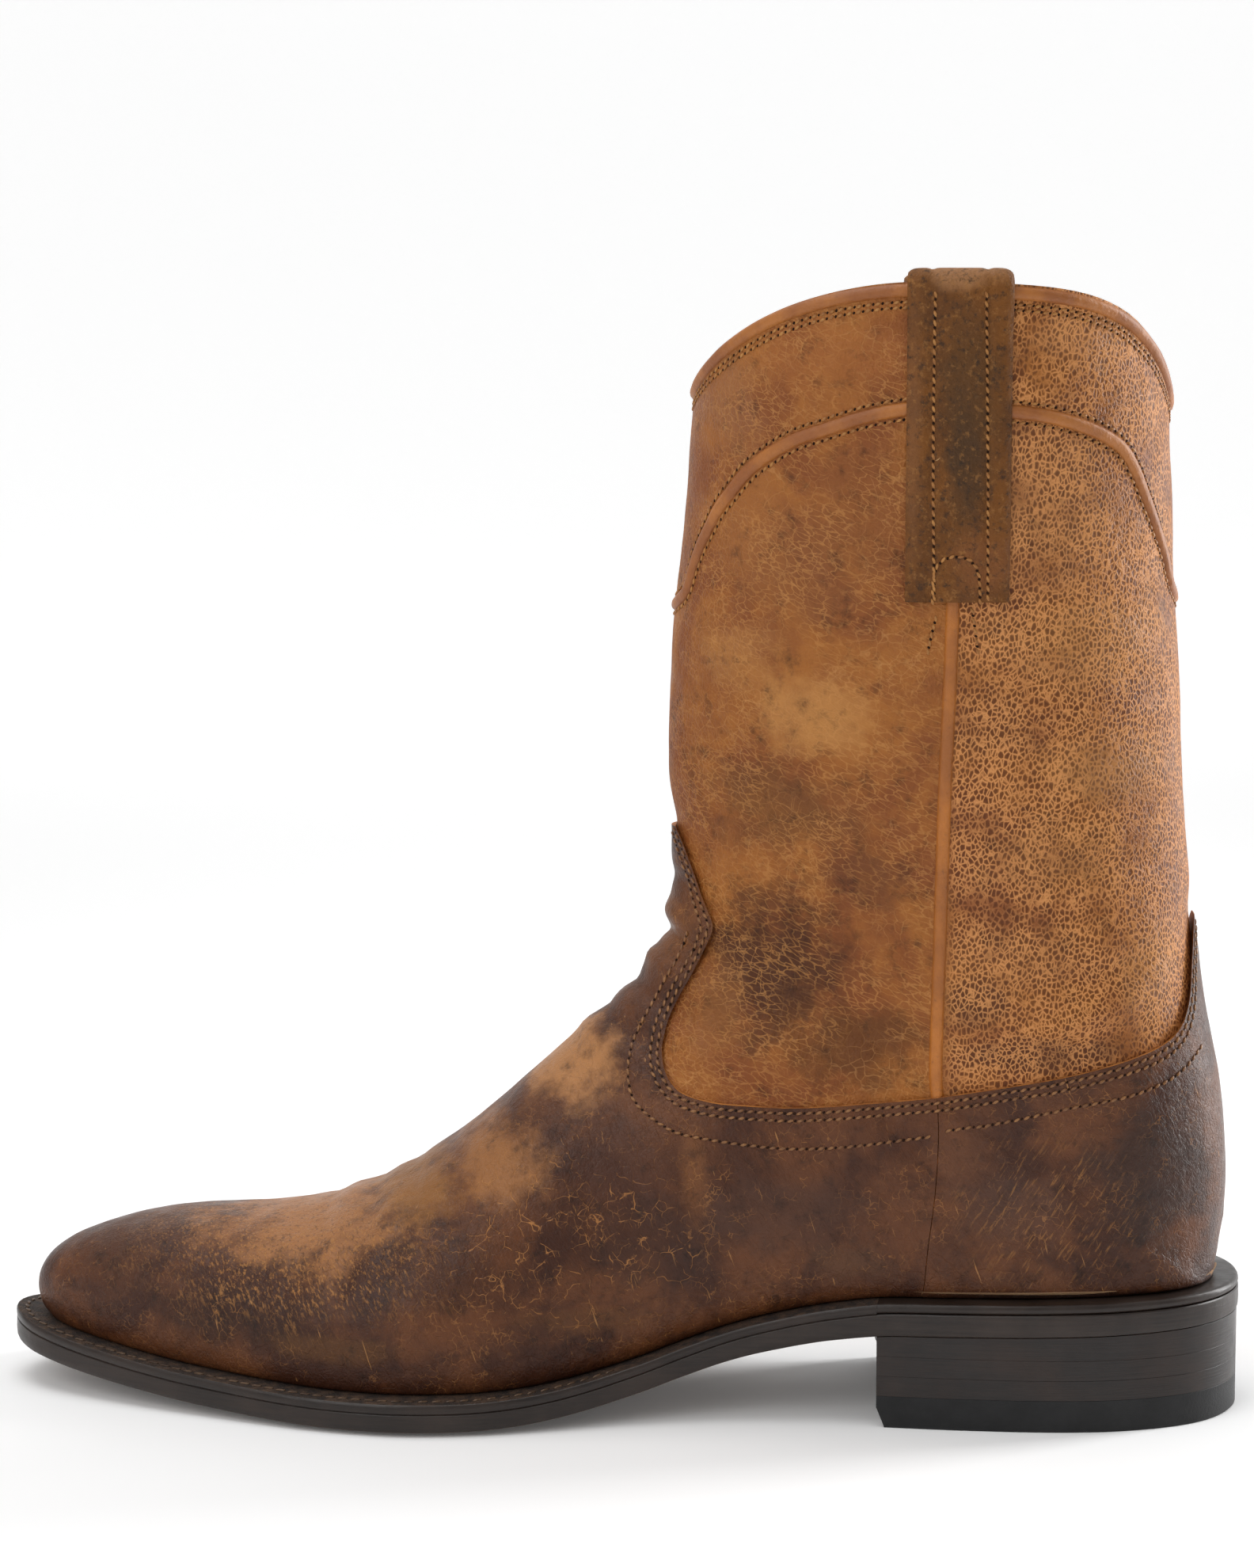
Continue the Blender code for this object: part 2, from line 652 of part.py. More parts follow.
def upper(plan):
    obj = add_object("upper", upper_skin(plan, UPPER_ROWS), UPPER_LEATHER)
    solid = obj.modifiers.new("wall", "SOLIDIFY")
    solid.thickness = UPPER_WALL
    solid.offset = -1
    solid.use_even_offset = True
    solid.use_rim = True
    return obj


def strap_path(tree, x, turn, rim, highest):
    """Inner and outer face of a strap in one column: up the outside, over the rim and down the inside."""
    faces = []

    def on_surface(z, offsets):
        hit, normal, _, _ = tree.ray_cast(Vector((x, turn, z)), Vector((0, -turn, 0)))
        normal = Vector((normal.x, normal.y, 0)).normalized()
        normal = normal if normal.y * turn > 0 else -normal
        return [hit + normal * offset for offset in offsets]

    low = highest - STRAP_DROP
    top = rim - STRAP_REACH
    near = STRAP_GAP
    far = STRAP_GAP + STRAP_THICK
    within = -UPPER_WALL - STRAP_GAP
    beyond = within - STRAP_THICK
    for step in range(STRAP_LEG_STEPS + 1):
        z = low + (top - low) * step / STRAP_LEG_STEPS
        faces.append(on_surface(z, (near, far)))
    outside, inside = on_surface(top, (near, within))
    middle = (outside + inside) / 2
    across = (outside - inside).normalized()
    small = (outside - inside).length / 2
    middle.z = highest + PIECE_GAP
    for step in range(STRAP_ARC_STEPS + 1):
        angle = math.pi * step / STRAP_ARC_STEPS
        reach = across * math.cos(angle) + Vector((0, 0, math.sin(angle)))
        faces.append([middle + reach * small, middle + reach * (small + STRAP_THICK)])
    for step in range(STRAP_LEG_STEPS + 1):
        z = top + (low - top) * step / STRAP_LEG_STEPS
        faces.append(on_surface(z, (within, beyond)))
    return faces


def pull_strap(name, upper_tree, rim_line, turn):
    """A strap over the collar on one side. The rim line gives the height of the collar along it."""
    builder = bmesh.new()
    columns = []
    centre = LENGTH / 2 - STRAP_AT
    places = [centre + STRAP_WIDTH * (step / STRAP_COLUMNS - 0.5) for step in range(STRAP_COLUMNS + 1)]
    rims = np.interp(places, [point[0] for point in rim_line], [point[2] for point in rim_line])
    for x, rim in zip(places, rims):
        faces = strap_path(upper_tree, x, turn, float(rim), float(max(rims)))
        columns.append([[builder.verts.new(point) for point in pair] for pair in faces])
    for left, right in zip(columns, columns[1:]):
        for i in range(len(left) - 1):
            for side in (0, 1):
                builder.faces.new((left[i][side], left[i + 1][side], right[i + 1][side], right[i][side]))
        for i in (0, -1):
            builder.faces.new((left[i][0], left[i][1], right[i][1], right[i][0]))
    for column in (columns[0], columns[-1]):
        for i in range(len(column) - 1):
            builder.faces.new((column[i][0], column[i][1], column[i + 1][1], column[i + 1][0]))
    return add_closed_object(name, builder, STRAP_LEATHER)


def pull_straps(plan):
    skin = upper_skin(plan, UPPER_ROWS)
    tree = BVHTree.FromBMesh(skin)
    skin.free()
    outer_rim, inner_rim = upper_lines(plan, UPPER_ROWS)[-1]
    pull_strap("pull_strap_outer", tree, outer_rim, -1)
    pull_strap("pull_strap_inner", tree, inner_rim, 1)


def centre_across():
    """Sets the middle of the whole boot's width on the X axis."""
    least = min(vert.co.y for obj in bpy.data.objects for vert in obj.data.vertices)
    most = max(vert.co.y for obj in bpy.data.objects for vert in obj.data.vertices)
    for obj in bpy.data.objects:
        for vert in obj.data.vertices:
            vert.co.y -= (least + most) / 2


def build():
    clear_scene()
    plan = Plan()
    top_lift(plan)
    heel_lifts(plan)
    outsole(plan)
    heel_rand(plan)
    welt(plan)
    upper(plan)
    insole(plan)
    pull_straps(plan)
    centre_across()


build()
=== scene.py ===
import math

import bmesh
import bpy
import numpy as np
from mathutils import Matrix, Vector, noise
from mathutils.bvhtree import BVHTree


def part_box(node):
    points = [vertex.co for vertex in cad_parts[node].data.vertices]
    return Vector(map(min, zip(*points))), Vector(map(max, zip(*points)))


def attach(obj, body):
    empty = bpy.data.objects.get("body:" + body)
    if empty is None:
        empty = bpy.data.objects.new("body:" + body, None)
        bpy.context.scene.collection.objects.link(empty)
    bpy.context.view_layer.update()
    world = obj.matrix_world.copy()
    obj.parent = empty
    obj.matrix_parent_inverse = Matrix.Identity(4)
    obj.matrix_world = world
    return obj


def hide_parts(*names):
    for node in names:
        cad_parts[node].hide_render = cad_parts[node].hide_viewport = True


# Looks of a plain roper boot for the left foot, in waxed and distressed brown leather.
# The toe points to -X, the outer side of the foot faces -Y, and the boot stands on Z = 0.

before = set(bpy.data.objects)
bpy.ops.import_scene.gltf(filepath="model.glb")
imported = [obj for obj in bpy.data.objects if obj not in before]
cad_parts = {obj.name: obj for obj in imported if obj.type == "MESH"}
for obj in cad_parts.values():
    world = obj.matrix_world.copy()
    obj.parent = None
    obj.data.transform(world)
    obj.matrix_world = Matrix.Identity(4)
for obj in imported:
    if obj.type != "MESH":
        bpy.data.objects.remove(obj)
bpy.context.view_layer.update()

MM = 0.001

# Overall sizes, as in the frame
LENGTH = 307 * MM
BALL_WIDTH = 90.5 * MM
INSTEP_HEIGHT = 126 * MM
COLLAR_HEIGHT = 248.8 * MM
COLLAR_ARCH = 26.3 * MM
SHAFT_WIDTH = 92 * MM
HEEL_HEIGHT = 22.6 * MM
TOE_SPRING = 10 * MM
TOE_SWING = 6 * MM

# Leather and rubber thicknesses, as in the frame
OUTSOLE_THICK = 5.4 * MM
WELT_THICK = 2.4 * MM
TOP_LIFT_THICK = 7.8 * MM
LEATHER_LIFT_THICK = 4.6 * MM
STRAP_THICK = 2 * MM

# Fits and making of the bottom, as in the frame
PIECE_GAP = 0.3 * MM
FEATHER_TUCK = 2.6 * MM
LASTING_MARGIN = 7 * MM
WELT_UNDER = 6 * MM
CROWN_RISE = 1 * MM
CROWN_INSET = 9 * MM
EDGE_ROUND = 0.8 * MM
RAND_DOME = 1.2 * MM
RAND_STEPS = 9
BREAST_HOLLOW = 2.5 * MM
BREAST_SLANT = 2.3 * MM
BREAST_SLANT_HEIGHT = 5 * MM
BREAST_AT = 89.5 * MM
HEEL_INSET = 0.3 * MM
SIDE_BULGE = 2.1 * MM
TOE_REGION = 30.7 * MM
STRAP_WIDTH = 24 * MM
STRAP_DROP = 74 * MM
STRAP_AT = 72 * MM

# Heights over the underside of the outsole
SOLE_TOP = OUTSOLE_THICK + PIECE_GAP / 2
WELT_TOP = OUTSOLE_THICK + PIECE_GAP + WELT_THICK

# Fineness of the surfaces
MERGE_DISTANCE = 0.002 * MM
SAMPLES_PER_KEY = 20
TOE_STEPS = 110
HEEL_STEPS = 54
BREAST_STEPS = 12
FOOT_ROWS = 150
SHAFT_ROWS = 105
HEEL_TURN_SECTIONS = 1
HEEL_TURN_ROWS = 11
ANKLE_BLEND_ROWS = 9
ANKLE_BLEND_PASSES = 40
ANKLE_BLEND_MARGIN = 2
ANKLE_BLEND_FADE = 5
FEATHER_STATIONS = 200
TOP_STEPS = 34
SIDE_STEPS = 24
CAP_STEPS = 14

# Greatest outline of the foot seen from above, each row across the foot at one place.
# along: share of LENGTH from the heel back. outer, inner: share of BALL_WIDTH from the heel line.
OUTLINE_COLUMNS = ("along", "outer", "inner")
TOE_TIP = (0.9805, -0.066)
HEEL_BACK = (0.0128, 0.0)
OUTLINE = (
    (0.9743, 0.012, 0.143),
    (0.9577, 0.078, 0.222),
    (0.9251, 0.148, 0.309),
    (0.8730, 0.238, 0.392),
    (0.8208, 0.314, 0.452),
    (0.7687, 0.386, 0.496),
    (0.7231, 0.440, 0.517),
    (0.6678, 0.478, 0.510),
    (0.6124, 0.464, 0.464),
    (0.5537, 0.412, 0.392),
    (0.4886, 0.343, 0.313),
    (0.4235, 0.307, 0.275),
    (0.3583, 0.308, 0.279),
    (0.2932, 0.330, 0.313),
    (0.2280, 0.352, 0.344),
    (0.1629, 0.359, 0.357),
    (0.1107, 0.341, 0.341),
    (0.0651, 0.286, 0.286),
    (0.0358, 0.212, 0.212),
    (0.0180, 0.110, 0.110),
)

# Underside of the outsole.
# along: share of LENGTH. spring: share of TOE_SPRING. lift: share of HEEL_HEIGHT.
# crown: share of CROWN_RISE. ledge: width of sole beyond the foot, as a share of LENGTH.
BOTTOM_COLUMNS = ("along", "spring", "lift", "crown", "ledge")
BOTTOM = (
    (0.0000, 0.00, 1.070, 0.0, 0.0124),
    (0.1500, 0.00, 1.030, 0.0, 0.0118),
    (0.2300, 0.00, 1.010, 0.0, 0.0118),
    (0.2880, 0.00, 0.990, 0.0, 0.0122),
    (0.3310, 0.00, 0.905, 0.3, 0.0135),
    (0.3650, 0.00, 0.805, 0.5, 0.0150),
    (0.4000, 0.00, 0.680, 0.7, 0.0160),
    (0.4360, 0.00, 0.515, 0.8, 0.0170),
    (0.4760, 0.00, 0.320, 0.9, 0.0180),
    (0.5180, 0.00, 0.160, 1.0, 0.0188),
    (0.5600, 0.00, 0.055, 1.0, 0.0195),
    (0.6000, 0.00, 0.010, 1.0, 0.0200),
    (0.6400, 0.00, 0.000, 1.0, 0.0200),
    (0.7200, 0.00, 0.000, 1.0, 0.0200),
    (0.7600, 0.04, 0.000, 1.0, 0.0200),
    (0.8000, 0.11, 0.000, 1.0, 0.0198),
    (0.8450, 0.21, 0.000, 1.0, 0.0196),
    (0.8800, 0.33, 0.000, 1.0, 0.0194),
    (0.9120, 0.46, 0.000, 0.9, 0.0194),
    (0.9450, 0.62, 0.000, 0.8, 0.0194),
    (0.9770, 0.82, 0.000, 0.6, 0.0194),
    (1.0000, 1.00, 0.000, 0.5, 0.0194),
)

# Sections of the upper over the foot, each from a point on the ridge down to the feather on both sides.
# front: ridge point, share of LENGTH. up: share of INSTEP_HEIGHT.
# end: feather point, share of the foot's length. wide: share of the outline there.
# low: where the section is widest. top, side: fullness of its two quarters.
FOOT_COLUMNS = ("front", "up", "end", "wide", "low", "top", "side")
FOOT_SECTIONS = (
    (0.9805, 0.196, 1.0000, 1.00, 0.55, 0.60, 0.55),
    (0.9788, 0.216, 0.9980, 1.00, 0.55, 0.60, 0.55),
    (0.9730, 0.240, 0.9922, 1.00, 0.56, 0.60, 0.55),
    (0.9635, 0.262, 0.9826, 1.00, 0.57, 0.60, 0.55),
    (0.9498, 0.283, 0.9690, 1.00, 0.58, 0.60, 0.55),
    (0.9320, 0.301, 0.9510, 1.00, 0.60, 0.60, 0.55),
    (0.9105, 0.317, 0.9292, 1.00, 0.62, 0.60, 0.55),
    (0.8845, 0.329, 0.9033, 1.00, 0.64, 0.60, 0.55),
    (0.8550, 0.337, 0.8735, 1.00, 0.66, 0.60, 0.55),
    (0.8225, 0.343, 0.8405, 1.00, 0.68, 0.59, 0.55),
    (0.7880, 0.351, 0.8050, 1.00, 0.70, 0.58, 0.55),
    (0.7510, 0.365, 0.7680, 1.00, 0.72, 0.57, 0.55),
    (0.7150, 0.392, 0.7310, 1.00, 0.74, 0.55, 0.55),
    (0.6780, 0.433, 0.6940, 1.00, 0.76, 0.53, 0.55),
    (0.6420, 0.488, 0.6550, 1.00, 0.78, 0.51, 0.55),
    (0.6080, 0.553, 0.6140, 1.00, 0.79, 0.50, 0.55),
    (0.5760, 0.624, 0.5680, 1.01, 0.79, 0.49, 0.55),
    (0.5450, 0.692, 0.5180, 1.03, 0.78, 0.49, 0.55),
    (0.5170, 0.756, 0.4620, 1.07, 0.76, 0.49, 0.55),
    (0.4940, 0.812, 0.4020, 1.12, 0.74, 0.49, 0.55),
    (0.4770, 0.861, 0.3400, 1.13, 0.72, 0.49, 0.55),
    (0.4670, 0.897, 0.2760, 1.09, 0.71, 0.50, 0.56),
    (0.4610, 0.932, 0.2120, 1.04, 0.70, 0.50, 0.57),
    (0.4580, 0.962, 0.1500, 1.00, 0.70, 0.50, 0.58),
    (0.4570, 0.986, 0.0950, 0.985, 0.70, 0.50, 0.58),
    (0.4565, 1.006, 0.0500, 0.98, 0.70, 0.51, 0.58),
    (0.4565, 1.024, 0.0180, 0.98, 0.70, 0.51, 0.58),
    (0.4570, 1.042, 0.0000, 0.98, 0.70, 0.51, 0.58),
)

# Sections of the upper above the heel seat, each a closed hoop from the front of the leg to its back.
# front, back: share of LENGTH. up: share of the height from instep to collar.
# rise: share of the height from seat to collar. wide: share of SHAFT_WIDTH.
# low: where the section is widest. top, side: fullness. arch: share of COLLAR_ARCH.
SHAFT_COLUMNS = ("front", "up", "back", "rise", "wide", "low", "top", "side", "arch")
SHAFT_SECTIONS = (
    (0.4572, 0.080, 0.0135, 0.065, 0.352, 0.69, 0.51, 0.58, 0.00),
    (0.4576, 0.125, 0.0130, 0.135, 0.356, 0.67, 0.52, 0.58, 0.00),
    (0.4586, 0.185, 0.0172, 0.205, 0.362, 0.65, 0.52, 0.58, 0.00),
    (0.4600, 0.260, 0.0262, 0.280, 0.372, 0.62, 0.53, 0.57, 0.00),
    (0.4604, 0.345, 0.0352, 0.360, 0.386, 0.60, 0.54, 0.57, 0.02),
    (0.4594, 0.435, 0.0424, 0.445, 0.403, 0.57, 0.55, 0.57, 0.05),
    (0.4572, 0.530, 0.0490, 0.535, 0.421, 0.55, 0.56, 0.57, 0.10),
    (0.4530, 0.625, 0.0532, 0.625, 0.440, 0.53, 0.56, 0.57, 0.20),
    (0.4486, 0.720, 0.0572, 0.720, 0.458, 0.52, 0.57, 0.57, 0.36),
    (0.4462, 0.815, 0.0620, 0.812, 0.474, 0.51, 0.57, 0.57, 0.56),
    (0.4440, 0.910, 0.0652, 0.905, 0.488, 0.50, 0.57, 0.57, 0.78),
    (0.4400, 1.000, 0.0672, 0.990, 0.500, 0.50, 0.57, 0.57, 1.00),
)
ARCH_SOFTNESS = 0.2
ARCH_FRONT = 1.1
ARCH_BACK = 1.8

# Folds and waves of the surface
WAVE_SIZE = 26 * MM
WAVE_RISE = 0.55 * MM
RIPPLE_SIZE = 7 * MM
RIPPLE_RISE = 0.12 * MM
FEATHER_CALM = 9 * MM

# Overlaid vamp and counter, and the shaft's leather under and beside them
OVERLAY_THICK = 1.35 * MM
OVERLAY_LIFT = 0.12 * MM
OVERLAY_LAST_ROW = FOOT_ROWS + 60
UNDERLAY_RECOVER = 7 * MM
SAG_START = 3.5 * MM
BASE_WALL = 1.2 * MM
SEAM_OPEN = 0.2 * MM
TOE_SLACK = 0.1 * MM
TOE_BULGE = 0.7 * MM
CUTTER_REACH = 90 * MM
FAR_OUT = 220 * MM

# Bands, piping and the rolled rim of the collar
BAND_STEP = 1.2 * MM
BAND_SUNK = 0.5 * MM
YOKE_BAND_WIDE = 3.3 * MM
YOKE_BAND_HIGH = 0.95 * MM
YOKE_DROP = 3 * MM
PIPING_WIDE = 3.2 * MM
PIPING_HIGH = 0.9 * MM
PIPING_POINTS = 8
RIM_BACK = 0.9
RIM_RADIUS = 1.7 * MM
RIM_SIDES = 12
RIM_STEPS = 160

# Stitches, and dark marks of painted shade in the needle holes between them. They keep off the middle lines
# of the boot by so many columns of its grid.
THREAD = 0.78 * MM
WELT_THREAD = 0.95 * MM
FINE_PITCH = 2.2 * MM
ROW_PITCH = 2.35 * MM
WELT_PITCH = 3.3 * MM
STITCH_SHARE = 0.72
WELT_STITCH_SHARE = 0.8
STITCH_SLANT = 0.3
STITCH_FLATNESS = 0.36
STITCH_SIDES = 6
STITCH_RINGS = 4
STITCH_PROUD = 0.1 * MM
# Marks of painted shade in the needle holes: their size, and how far they stand proud (less than 0: sunk)
HOLE_SIZE = 0.85 * MM
HOLE_PROUD = -0.14 * MM
STITCH_FROM_BACK = 1.3
STITCH_FROM_FRONT = 0.6
ROW_BESIDE = 0.7 * MM
COLLAR_ROWS = (2.6 * MM, 3.9 * MM)
EDGE_ROWS = (1.2 * MM, 3 * MM)
BESIDE_STEP = 1.5 * MM
WELT_ROW_INSET = 2.6 * MM
WELT_ROW_SHORT = 30

# Pull straps
STRAP_COLUMNS = 40
STRAP_LEG_STEPS = 56
STRAP_ARC_STEPS = 14
STRAP_LIFT = 0.1 * MM
STRAP_FLARE = 0.9 * MM
STRAP_FLARE_REACH = 5 * MM
STRAP_TOP_DROP = 2 * MM
STRAP_CROWN_DROP = 0.4 * MM
STRAP_EDGE_THIN = 0.5
STRAP_EDGE_POWER = 14
STRAP_GROOVE = 0.35 * MM
STRAP_GROOVE_WIDE = 0.8 * MM
STRAP_ROW_AT = 6.4 * MM

# Edges sharper than this, in degrees, are not shaded smooth
SURFACE_EDGE = 40
CUT_EDGE = 35
STITCH_EDGE = 60
RIM_BAND_EDGE = 50
LAYER_EDGE = 25

# Edges of the sole layers, and how upright a face looks that gets the second finish
JOINT_EASE = 0.06 * MM
SOLE_BULGE = 0.1 * MM
SOLE_TOP_EASE = 0.3 * MM
WALKING_FACE = -0.8
WELT_FACE = 0.75

# Outer edge of the welt from below: inset, and height over the underside of the outsole
WELT_PROFILE = (
    (0.3 * MM, SOLE_TOP),
    (0, SOLE_TOP + 0.3 * MM),
    (-0.1 * MM, (SOLE_TOP + WELT_TOP) / 2),
    (0, WELT_TOP - 0.5 * MM),
    (0.25 * MM, WELT_TOP - 0.15 * MM),
    (0.8 * MM, WELT_TOP),
)

# Studio: white paper that rises behind the boot and glows there, and the strength of the light all round
PAPER_REACH = 2.5
PAPER_HALF_WIDTH = 4
PAPER_TOP = 4.0
PAPER_CURVE = 1.5
PAPER_BEND_POINTS = 17
PAPER_POINTS_ACROSS = 9
PAPER_GLOW_FROM = 0.1
PAPER_GLOW_TO = 1.8
PAPER_GLOW_NEAR = 0.05
PAPER_GLOW_FAR = 0.43
WORLD_LIGHT = 0.45
SENSOR_WIDTH = 36

# Lamps: name, place, aim, width and height in metres, power in watts
SOFTBOXES = (
    ("top_softbox", (-0.25, -0.05, 1.15), (-0.05, 0, 0.05), (0.9, 0.7), 5.2),
    ("front_softbox", (-0.75, -1.1, 0.9), (0, 0, 0.12), (0.9, 0.9), 6.5),
    ("back_strip", (0.85, 0.35, 0.35), (0.12, 0, 0.12), (0.25, 0.8), 8),
)

# Camera: the photograph's frame in pixels, and where its lens stood
PHOTO_SIZE = (1584, 1980)
FOCAL_PIXELS = 4894
CAMERA_DISTANCE = 950 * MM
CAMERA_HEIGHT = 262 * MM
CAMERA_ASIDE = 1.8 * MM
CAMERA_TURN = math.radians(3.5)
CAMERA_PITCH = math.radians(6.617)

# Seams as they lie in the photograph, in its pixels
VAMP_EDGE_SEEN = (
    (853, 1043), (863, 1067), (875, 1099), (886, 1131), (898, 1160), (900, 1174), (892, 1194), (878, 1222),
    (860, 1254), (846, 1283), (839, 1306), (836, 1326), (839, 1349), (849, 1369), (866, 1383), (901, 1393),
    (941, 1397), (998, 1400), (1050, 1398), (1125, 1392), (1183, 1387),
)
COUNTER_EDGE_SEEN = (
    (1183, 1387), (1250, 1377), (1350, 1360), (1425, 1340), (1470, 1320), (1493, 1296), (1503, 1262),
    (1506, 1215), (1508, 1175), (1509, 1156),
)
VAMP_ROW_SEEN = (
    (868, 1179), (855, 1211), (840, 1237), (826, 1263), (812, 1288), (800, 1314), (794, 1340), (794, 1366),
    (800, 1388), (816, 1406), (840, 1423), (863, 1433), (901, 1440), (941, 1446), (1000, 1451), (1075, 1448),
    (1172, 1436),
)
COUNTER_ROW_SEEN = (
    (1198, 1428), (1280, 1415), (1350, 1400), (1425, 1385), (1475, 1365), (1500, 1345), (1517, 1322),
)
YOKE_FRONT_SEEN = (
    (1156, 502), (1111, 509), (1072, 519), (1036, 531), (1000, 543), (967, 562), (940, 583), (919, 609),
    (902, 633), (892, 654), (880, 681), (871, 708), (864, 738),
)
YOKE_BACK_SEEN = (
    (1272, 506), (1320, 512), (1350, 519), (1380, 529), (1404, 541), (1425, 558), (1440, 585), (1452, 618),
    (1464, 654), (1474, 693), (1480, 729),
)
SIDE_SEAM_SEEN = (
    (1204, 752), (1201, 840), (1197, 924), (1193, 1010), (1190, 1100), (1186, 1220), (1182, 1340),
    (1184, 1394), (1185, 1437), (1183, 1481), (1179, 1524), (1172, 1574), (1167, 1622), (1164, 1634),
)
STRAP_TACKS_SEEN = (((1182, 781), (1177, 801), (1172, 823)), ((1228, 771), (1232, 797), (1235, 823)))
STRAP_ROWS_SEEN = (
    ((1180, 755), (1179, 600), (1180, 470), (1182, 372)),
    ((1248, 755), (1248, 600), (1247, 470), (1246, 372)),
    ((1178, 760), (1180, 725), (1190, 708), (1208, 703), (1226, 708), (1236, 725), (1238, 760)),
)


def between_rows(rows, at):
    """A smooth value of every column at a row number that needn't be whole."""
    rows = np.asarray(rows, float)
    last = len(rows) - 1
    i = min(int(at), last - 1)
    t = at - i
    before = rows[i - 1] if i > 0 else 2 * rows[0] - rows[1]
    after = rows[i + 2] if i + 2 <= last else 2 * rows[last] - rows[last - 1]
    start = rows[i]
    stop = rows[i + 1]
    straight = 2 * start + (stop - before) * t
    bend = (2 * before - 5 * start + 4 * stop - after) * t * t
    twist = (3 * start - before - 3 * stop + after) * t * t * t
    return (straight + bend + twist) / 2


def x_of(along):
    return LENGTH * (0.5 - along)


def bottom_at(x, column):
    """One column of the underside table at a place along the boot."""
    rows = np.asarray(BOTTOM)
    along = 0.5 - x / LENGTH
    at = np.interp(along, rows[:, 0], np.arange(len(rows)))
    return between_rows(rows, float(at))[BOTTOM_COLUMNS.index(column)]


def sole_bottom(x):
    return TOE_SPRING * bottom_at(x, "spring") + HEEL_HEIGHT * bottom_at(x, "lift")


def feather_height(x):
    """Height of the fold where the upper turns under onto the welt."""
    return sole_bottom(x) + OUTSOLE_THICK + WELT_THICK + 2 * PIECE_GAP


def outline_keys(column, turn):
    """The table's points down one side of the foot outline, from the toe tip to the heel back."""
    keys = [(x_of(TOE_TIP[0]), -TOE_TIP[1] * BALL_WIDTH)]
    for row in OUTLINE:
        keys.append((x_of(row[0]), turn * row[OUTLINE_COLUMNS.index(column)] * BALL_WIDTH))
    keys.append((x_of(HEEL_BACK[0]), HEEL_BACK[1] * BALL_WIDTH))
    return keys


def foot_outline():
    """Closed dense outline, down the outer side from the toe tip, round the heel and up the inner side."""
    outer = outline_keys("outer", -1)
    inner = outline_keys("inner", 1)
    keys = outer + inner[-2:0:-1]
    count = len(keys)
    points = []
    for i in range(count):
        four = [keys[(i + step) % count] for step in (-1, 0, 1, 2)]
        for step in range(SAMPLES_PER_KEY):
            points.append(between_rows(four, 1 + step / SAMPLES_PER_KEY))
    points = np.array(points)
    along = np.roll(points, -1, axis=0) - np.roll(points, 1, axis=0)
    along /= np.linalg.norm(along, axis=1)[:, None]
    outward = np.stack([-along[:, 1], along[:, 0]], axis=1)
    outward *= -1 if outward[0, 0] > 0 else 1
    return points, outward


def even_places(points, first, last, steps):
    """Place numbers spaced evenly along the outline between two of its points."""
    run = points[first : last + 1]
    lengths = step_lengths(run)
    return first + np.interp(np.linspace(0, lengths[-1], steps + 1), lengths, np.arange(len(run)))


def station_places(points):
    """Places of the soles' stations round the outline, with one at each side of the heel breast."""
    count = len(points)
    back = (len(OUTLINE) + 1) * SAMPLES_PER_KEY
    breast_x = LENGTH / 2 - BREAST_AT
    outer_breast = int(np.argmin(np.abs(points[:back, 0] - breast_x)))
    inner_breast = back + int(np.argmin(np.abs(points[back:, 0] - breast_x)))
    closed = np.vstack([points, points[:1]])
    parts = [
        even_places(closed, 0, outer_breast, TOE_STEPS)[:-1],
        even_places(closed, outer_breast, back, HEEL_STEPS)[:-1],
        even_places(closed, back, inner_breast, HEEL_STEPS)[:-1],
        even_places(closed, inner_breast, count, TOE_STEPS)[:-1],
    ]
    return np.concatenate(parts)


def at_places(values, places):
    """Values of a closed list read at places that needn't be whole."""
    closed = np.vstack([values, values[:1]])
    numbers = np.arange(len(closed))
    return np.stack([np.interp(places, numbers, closed[:, i]) for i in range(values.shape[1])], axis=1)


class Plan:
    """The foot outline with its outward directions, at the stations that all sole pieces share."""

    def __init__(self):
        self.points, self.outward = foot_outline()
        self.places = station_places(self.points)
        self.base = at_places(self.points, self.places)
        self.out = at_places(self.outward, self.places)
        self.ledge = np.array([LENGTH * bottom_at(x, "ledge") for x in self.base[:, 0]])

    def sole_edge(self, inset=0.0):
        return self.base + self.out * (self.ledge - inset)[:, None]

    def inside(self, inset):
        return self.base - self.out * inset

    def along_side(self, inner, inset):
        """Dense points down one side at an inset, from the toe tip to the heel back."""
        back = (len(OUTLINE) + 1) * SAMPLES_PER_KEY
        full = self.points - self.outward * inset
        if inner:
            return np.vstack([full[:1], full[: back - 1 : -1]])
        return full[: back + 1]


def quarter(start, stop, first, last, steps):
    """Points of a curve quarter in the section, given its two ends and the two handles between."""
    t = np.linspace(0, 1, steps + 1)[:, None]
    s = 1 - t
    start, stop, first, last = (np.array(point) for point in (start, stop, first, last))
    return s**3 * start + 3 * s * s * t * first + 3 * s * t * t * last + t**3 * stop


def half_section(ridge_y, widest, low, end_y, top, side):
    """One side of a section as (share of the way from front to end, sideways place)."""
    upper = quarter(
        (0.0, ridge_y),
        (low, widest),
        (0.0, ridge_y + top * (widest - ridge_y)),
        (low * (1 - top), widest),
        TOP_STEPS,
    )
    lower = quarter(
        (low, widest),
        (1.0, end_y),
        (low + side * (1 - low), widest),
        (1.0, end_y + side * (widest - end_y)),
        SIDE_STEPS,
    )
    return np.vstack([upper, lower[1:]])


